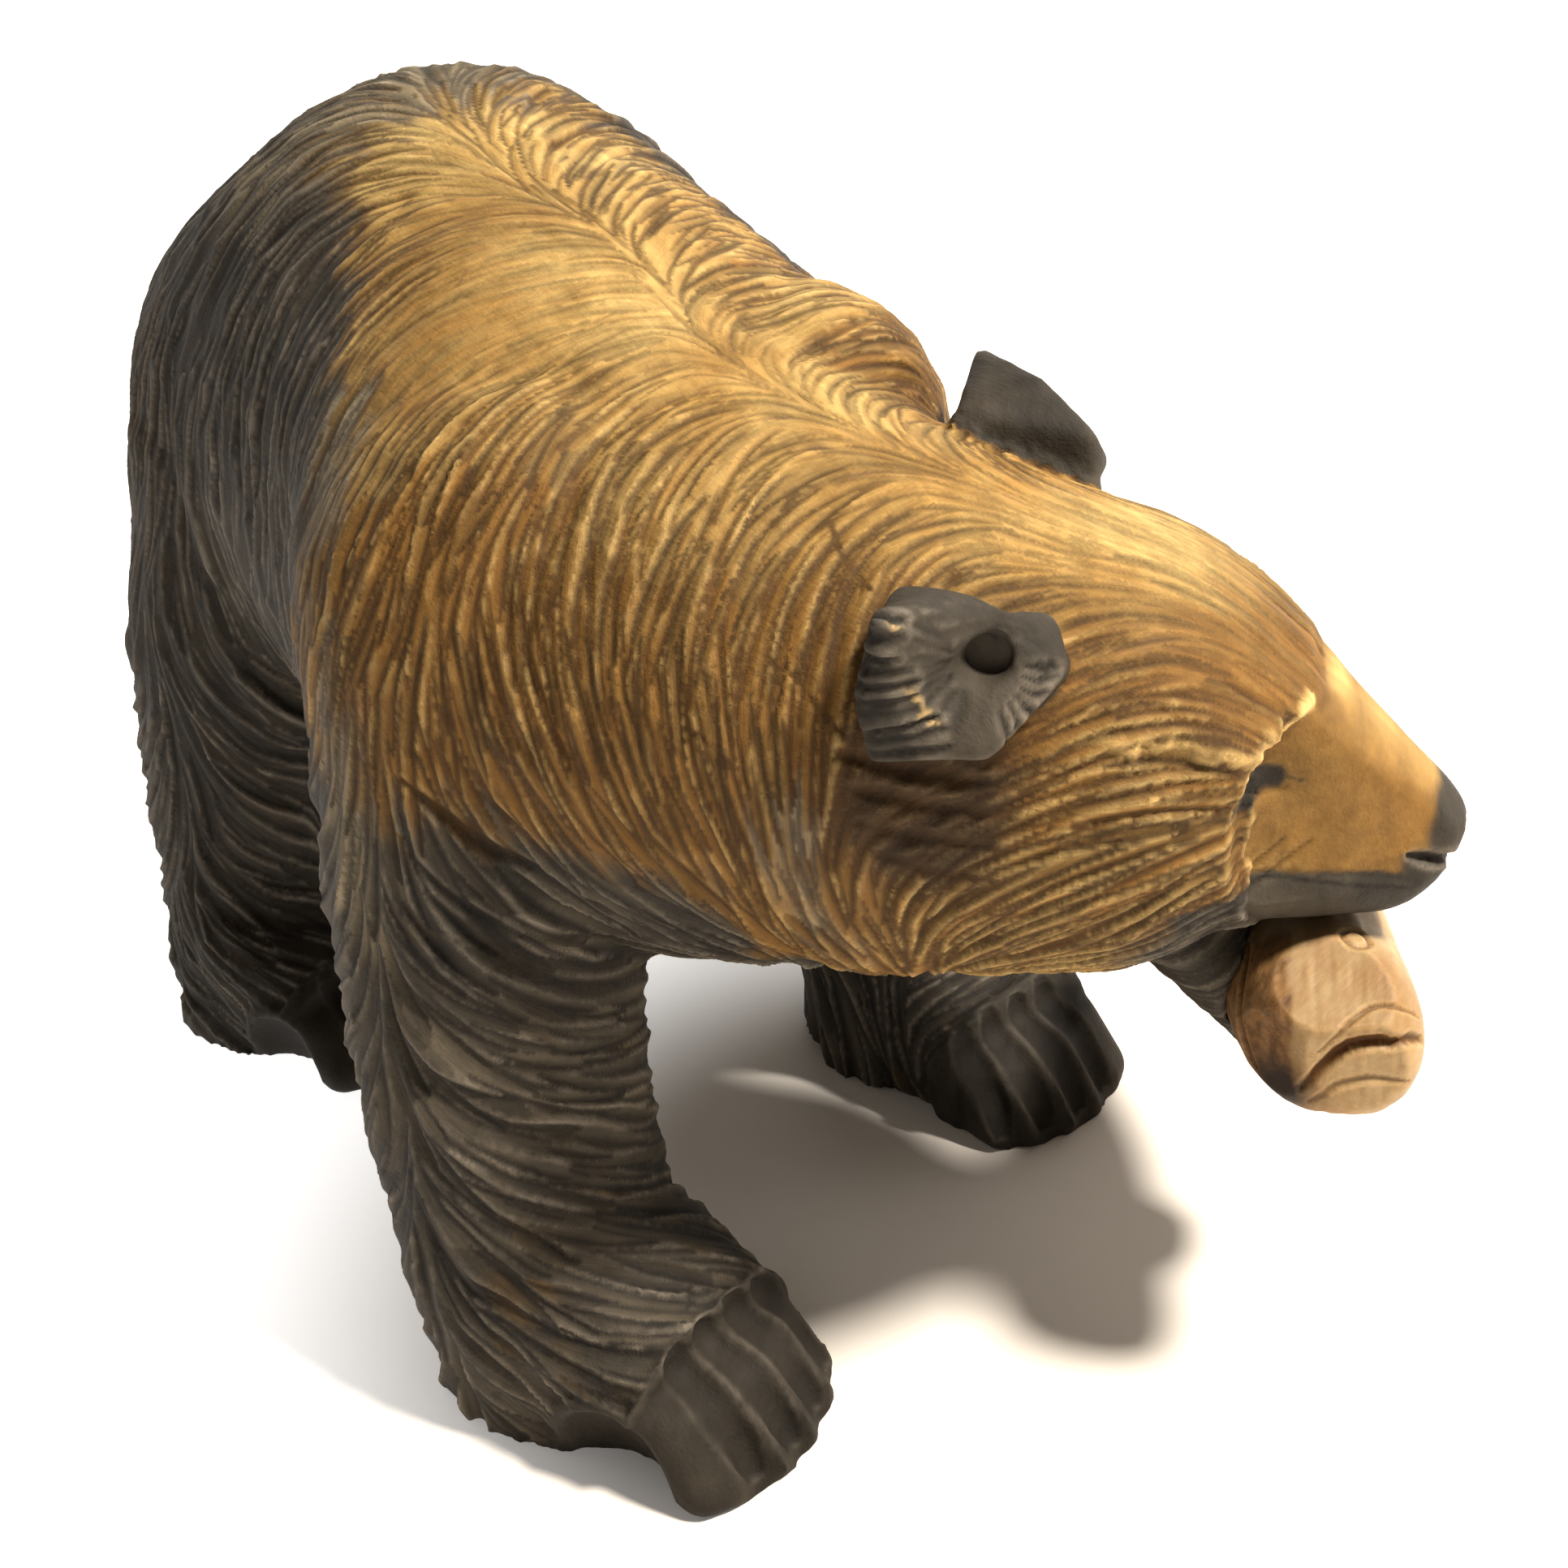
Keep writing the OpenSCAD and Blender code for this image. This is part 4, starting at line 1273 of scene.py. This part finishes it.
def pale_edges_and_highlight(p, h, made, facing, char, bend):
    """The broken edge of the fur over the eye, the muzzle's upper side as a painted highlight where the
    bare wood faces up, and the tips on the ear's ledge.
    """
    pale = smoothstep(2.0, 0.4, np.abs(made["ahead"] + 0.6)) * smoothstep(138, 145, h[:, 2])
    pale = pale * (np.abs(h[:, 1]) > 16) * (h[:, 0] > 5) * smoothstep(160, 154, h[:, 2]) * 0.75
    pale = np.maximum(pale, 0.6 * made["brow"])
    # painted highlight: the bare wood is lighter where it faces up
    pale = np.maximum(pale, 0.6 * made["bare"] * smoothstep(0.45, 0.9, facing) * (1 - char))
    ledge = [(-24, -61, 186), (-24, -60, 178), (-21.5, -59, 170), (-17, -57.5, 164)]
    tips = near_line(p, "head", ledge, 2.0)
    return np.maximum(pale, 0.7 * smoothstep(0.1, 0.7, tips) * smoothstep(0.4, 1.0, bend))


def finish_values(mesh, made):
    """The colour values of every point, from the carved shape."""
    p, n = mesh_points(mesh), mesh_normals(mesh)
    h = in_place("head", p)
    side = np.abs(h[:, 1])
    tone = made["tone"]
    hood = Neighbours(mesh_edges(mesh), len(p))
    bend = ((p - hood.mean(p)) * n).sum(1)
    bend = 0.5 * (bend + hood.mean(bend)) / 0.075
    facing = hood.mean(n[:, 2], 12)
    noise = value_noise(p, 18, 11) * 0.20 + value_noise(p, 5, 12) * 0.10
    # the stain, and the ears, nose, lips, eye and corner of the mouth, which are charred
    char = smoothstep(0.2, 0.8, np.clip(stain(p, h) + noise + tone * 0.26, 0, 1))
    soot = smoothstep(20, -30, p[:, 0]) * smoothstep(252, 225, p[:, 2]) * 0.6
    soot = soot * smoothstep(0.3, 0.9, char)
    ear = smoothstep(0.2, 0.6, made["ears"])
    char = np.maximum(char, ear * smoothstep(8, -2, h[:, 0] + 0.25 * (side - 50)))
    mouth, eye, lip_crack = face_marks(mesh, p, h)
    char = np.maximum(char, np.maximum(mouth, smoothstep(0.1, 0.5, eye)))
    # brown on the neck's side, under the ear and low on the cheek: partly a brown stain beside the char and
    # along the hump, partly painted shade where the surface faces away from up and under the ear
    hump = [(6, -30, 228), (30, -44, 218), (50, -58, 206)]
    brown = np.maximum(smoothstep(0.97, 0.60, facing), 0.75 * near_line(p, "body", hump, 44))
    brown = np.maximum(brown, smoothstep(0.05, 0.4, char) * 0.8)
    brown = brown + 0.8 * side_bump(h, -24, 146, 24) * (side > 30)
    brown = np.clip(brown + noise * 0.6 + tone * 0.22, 0, 1) * (1 - 0.15 * made["bare"])
    # the shade under the ear
    shade = side_bump(h, -24, 132, 21, 0.9) * (side > 30) * (1 - ear)
    shade = np.clip(2.0 * shade, 0, 1)
    # the painted shadow under the ear also darkens the char value there
    char = np.maximum(char, 0.45 * shade)
    # the single dark marks: eye, lips, drying cracks and the ear's rim
    dark = np.maximum(smoothstep(0.1, 0.6, eye), smoothstep(0.1, 0.8, lip_crack) * 0.8)
    crack = near_zones(p, [(place, line, 1.1, 1.0) for place, line in CRACKS])
    dark = np.maximum(dark, smoothstep(0.1, 0.7, crack))
    rim = near_line(p, "head", [(-30, -62, 187), (-31, -62, 178), (-30, -61, 170), (-27, -59, 160)], 8)
    dark = np.maximum(dark, 0.75 * smoothstep(0.1, 0.6, rim) * ear)
    # the depth of the strokes, with painted shade in their hollows and along each one's deepest line, and
    # their edges, lighter partly from wear and partly as a painted highlight
    relief = made["cut"]
    hollow = np.clip((relief - hood.mean(relief, 7)) / 0.26, -1, 1)
    cuts = smoothstep(0.5, 2.2, made["own"])
    line = 0.7 * made["line"] + 0.3 * hood.mean(made["line"])
    shade_and_dark_marks = np.clip(np.maximum(np.maximum(-bend, hollow) * 0.7, 1.4 * line), 0, 1)
    edge = np.clip((bend - 0.5) / 1.1, 0, 1)
    edge = 0.5 * (edge + hood.mean(edge)) * (1 - 0.7 * made["paw"])
    fine_marks = np.clip(value_noise(h * (0.25, 1.5, 1.5), 1.6, 52), 0, 1) * made["bare"] * 0.25
    shade_and_dark_marks = fine_marks + shade_and_dark_marks * (0.35 + 0.65 * (1 - made["bare"])) + cuts * 0.35 + dark
    # painted shade on the smooth fronts of the paws, standing in for the head's shadow on the near forepaw,
    # and the painted shadow under the ear
    shade_and_dark_marks = np.clip(shade_and_dark_marks + 0.75 * made["paw"] + shade, 0, 1)
    return {
        "edge": edge * (1 - cuts * 0.6) * (1 - dark) * (1 - 0.8 * shade),
        "shade_and_dark_marks": np.maximum(shade_and_dark_marks, soot),
        "char": np.clip(char, 0, 1),
        "grey": weathered(p, noise, tone) * (1 - eye),
        "tone": tone,
        "across": made["across"],
        "brown": brown,
        "pale": pale_edges_and_highlight(p, h, made, facing, char, bend),
    }


# ---------------------------------------------------------------- the salmon

SALMON_CUTS = [
    # mouth, the line over it, and the lower lip
    ("head", [(40, -38, 77), (45, -38, 83), (49, -36, 87), (55, -33, 87.5), (61, -29, 84)],
     2.0, 2.2, 1.3, False),
    ("head", [(44, -37, 86), (48, -35, 90), (53, -31, 92.5), (60, -27, 87)], 0.9, 0.8, 1.2, False),
    ("head", [(42, -38, 74), (47, -38, 79), (53, -37, 80.5), (59, -34, 79)], 1.3, 0.7, 1.3, False),
    # the gill's edge
    ("head", [(26, -12, 98), (27, -22, 92), (28, -28, 84), (30, -33, 76)], 1.4, 1.2, 1.2, False),
]
SALMON_EYE = (51, -16, 97)


def build_salmon():
    points, faces, _ = joined_nodes(["salmon"])
    mesh = remeshed(points, faces, SALMON_VOXEL)
    p = mesh_points(mesh)
    hood = Neighbours(mesh_edges(mesh), len(p))
    p = smoothed(p, hood, 10, 1.0)
    set_points(mesh, p)
    clay = Clay(p, mesh_normals(mesh))
    # the blunt head is boxy: swell it, then plane its faces
    clay.swell("head", (50, -28, 86), 26, 3.0)
    clay.swell("head", (54, -30, 78), 18, 2.0)
    clay.flatten("head", (39.5, -36, 84), (-0.66, -0.75, 0.05), (34, -26, 80), 46)
    clay.flatten("head", (46, -37.0, 84), (0.14, -0.97, 0.18), (50, -34, 82), 44)
    clay.flatten("head", (46, -22, 97.0), (0.02, -0.42, 0.90), (44, -18, 97), 28)
    clay.flatten("head", (46, -34, 70), (0.0, -0.45, -0.89), (46, -32, 68), 20)
    set_points(mesh, clay.p)
    fine = subdivided(mesh)
    q, m = mesh_points(fine), mesh_normals(fine)
    cut, _ = carved(q, m, drawn_cuts(SALMON_CUTS, q, m, point_tree(q)))
    h = in_place("head", q)
    ring = np.linalg.norm((h - SALMON_EYE) * (0.75, 0.6, 0.3), axis=1)
    ring = np.clip(1 - np.abs(ring - 1.9) / 0.75, 0, 1) * (h[:, 2] > 90)
    cut = cut + ring * 0.8
    marks = value_noise(np.stack([h[:, 0] * 2.2, h[:, 1] * 0.35, h[:, 2] * 0.5], 1), 3.0, 71) * 0.10
    q = q - m * (cut + marks)[:, None]
    set_points(fine, q * MM)
    hood = Neighbours(mesh_edges(fine), len(q))
    bend = ((q - hood.mean(q)) * m).sum(1) / 0.03
    brown = smoothstep(39.5, 38, h[:, 0] + value_noise(q, 5, 72) * 0.8) * smoothstep(-10, -16, h[:, 1])
    brown = np.maximum(brown * 0.85, 0.35 * smoothstep(60, 90, np.abs(h[:, 1])))
    char = bump(np.linalg.norm(h - (36, -36, 75), axis=1), 11)
    char = np.maximum(char, smoothstep(97, 101, h[:, 2]) * smoothstep(34, 26, h[:, 0]) * 0.8)
    char = np.clip(char * 1.3 + value_noise(q, 3, 73) * 0.15 * (char > 0.05), 0, 1)
    add_value(fine, "char", char)
    add_value(fine, "brown", np.clip(brown + value_noise(q, 6, 74) * 0.12, 0, 1))
    # painted shade in the cuts and hollows, and the ridges lighter
    add_value(fine, "shade_and_dark_marks", np.clip(smoothstep(0.3, 1.8, cut) * 0.8 + np.clip(-bend, 0, 1) * 0.4, 0, 1))
    add_value(fine, "edge", np.clip(bend, 0, 1) * 0.3)
    ob = bpy.data.objects.new("carved_salmon", fine)
    bpy.context.scene.collection.objects.link(ob)
    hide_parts("salmon")
    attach(ob, "root")
    return ob


add_camera()
add_stage()
bear, made = build_bear()
values = finish_values(bear, made)
wood = carved_wood()
for piece in split_into_pieces(bear, values):
    piece.data.materials.append(wood)
salmon = build_salmon()
salmon.data.materials.append(salmon_wood())
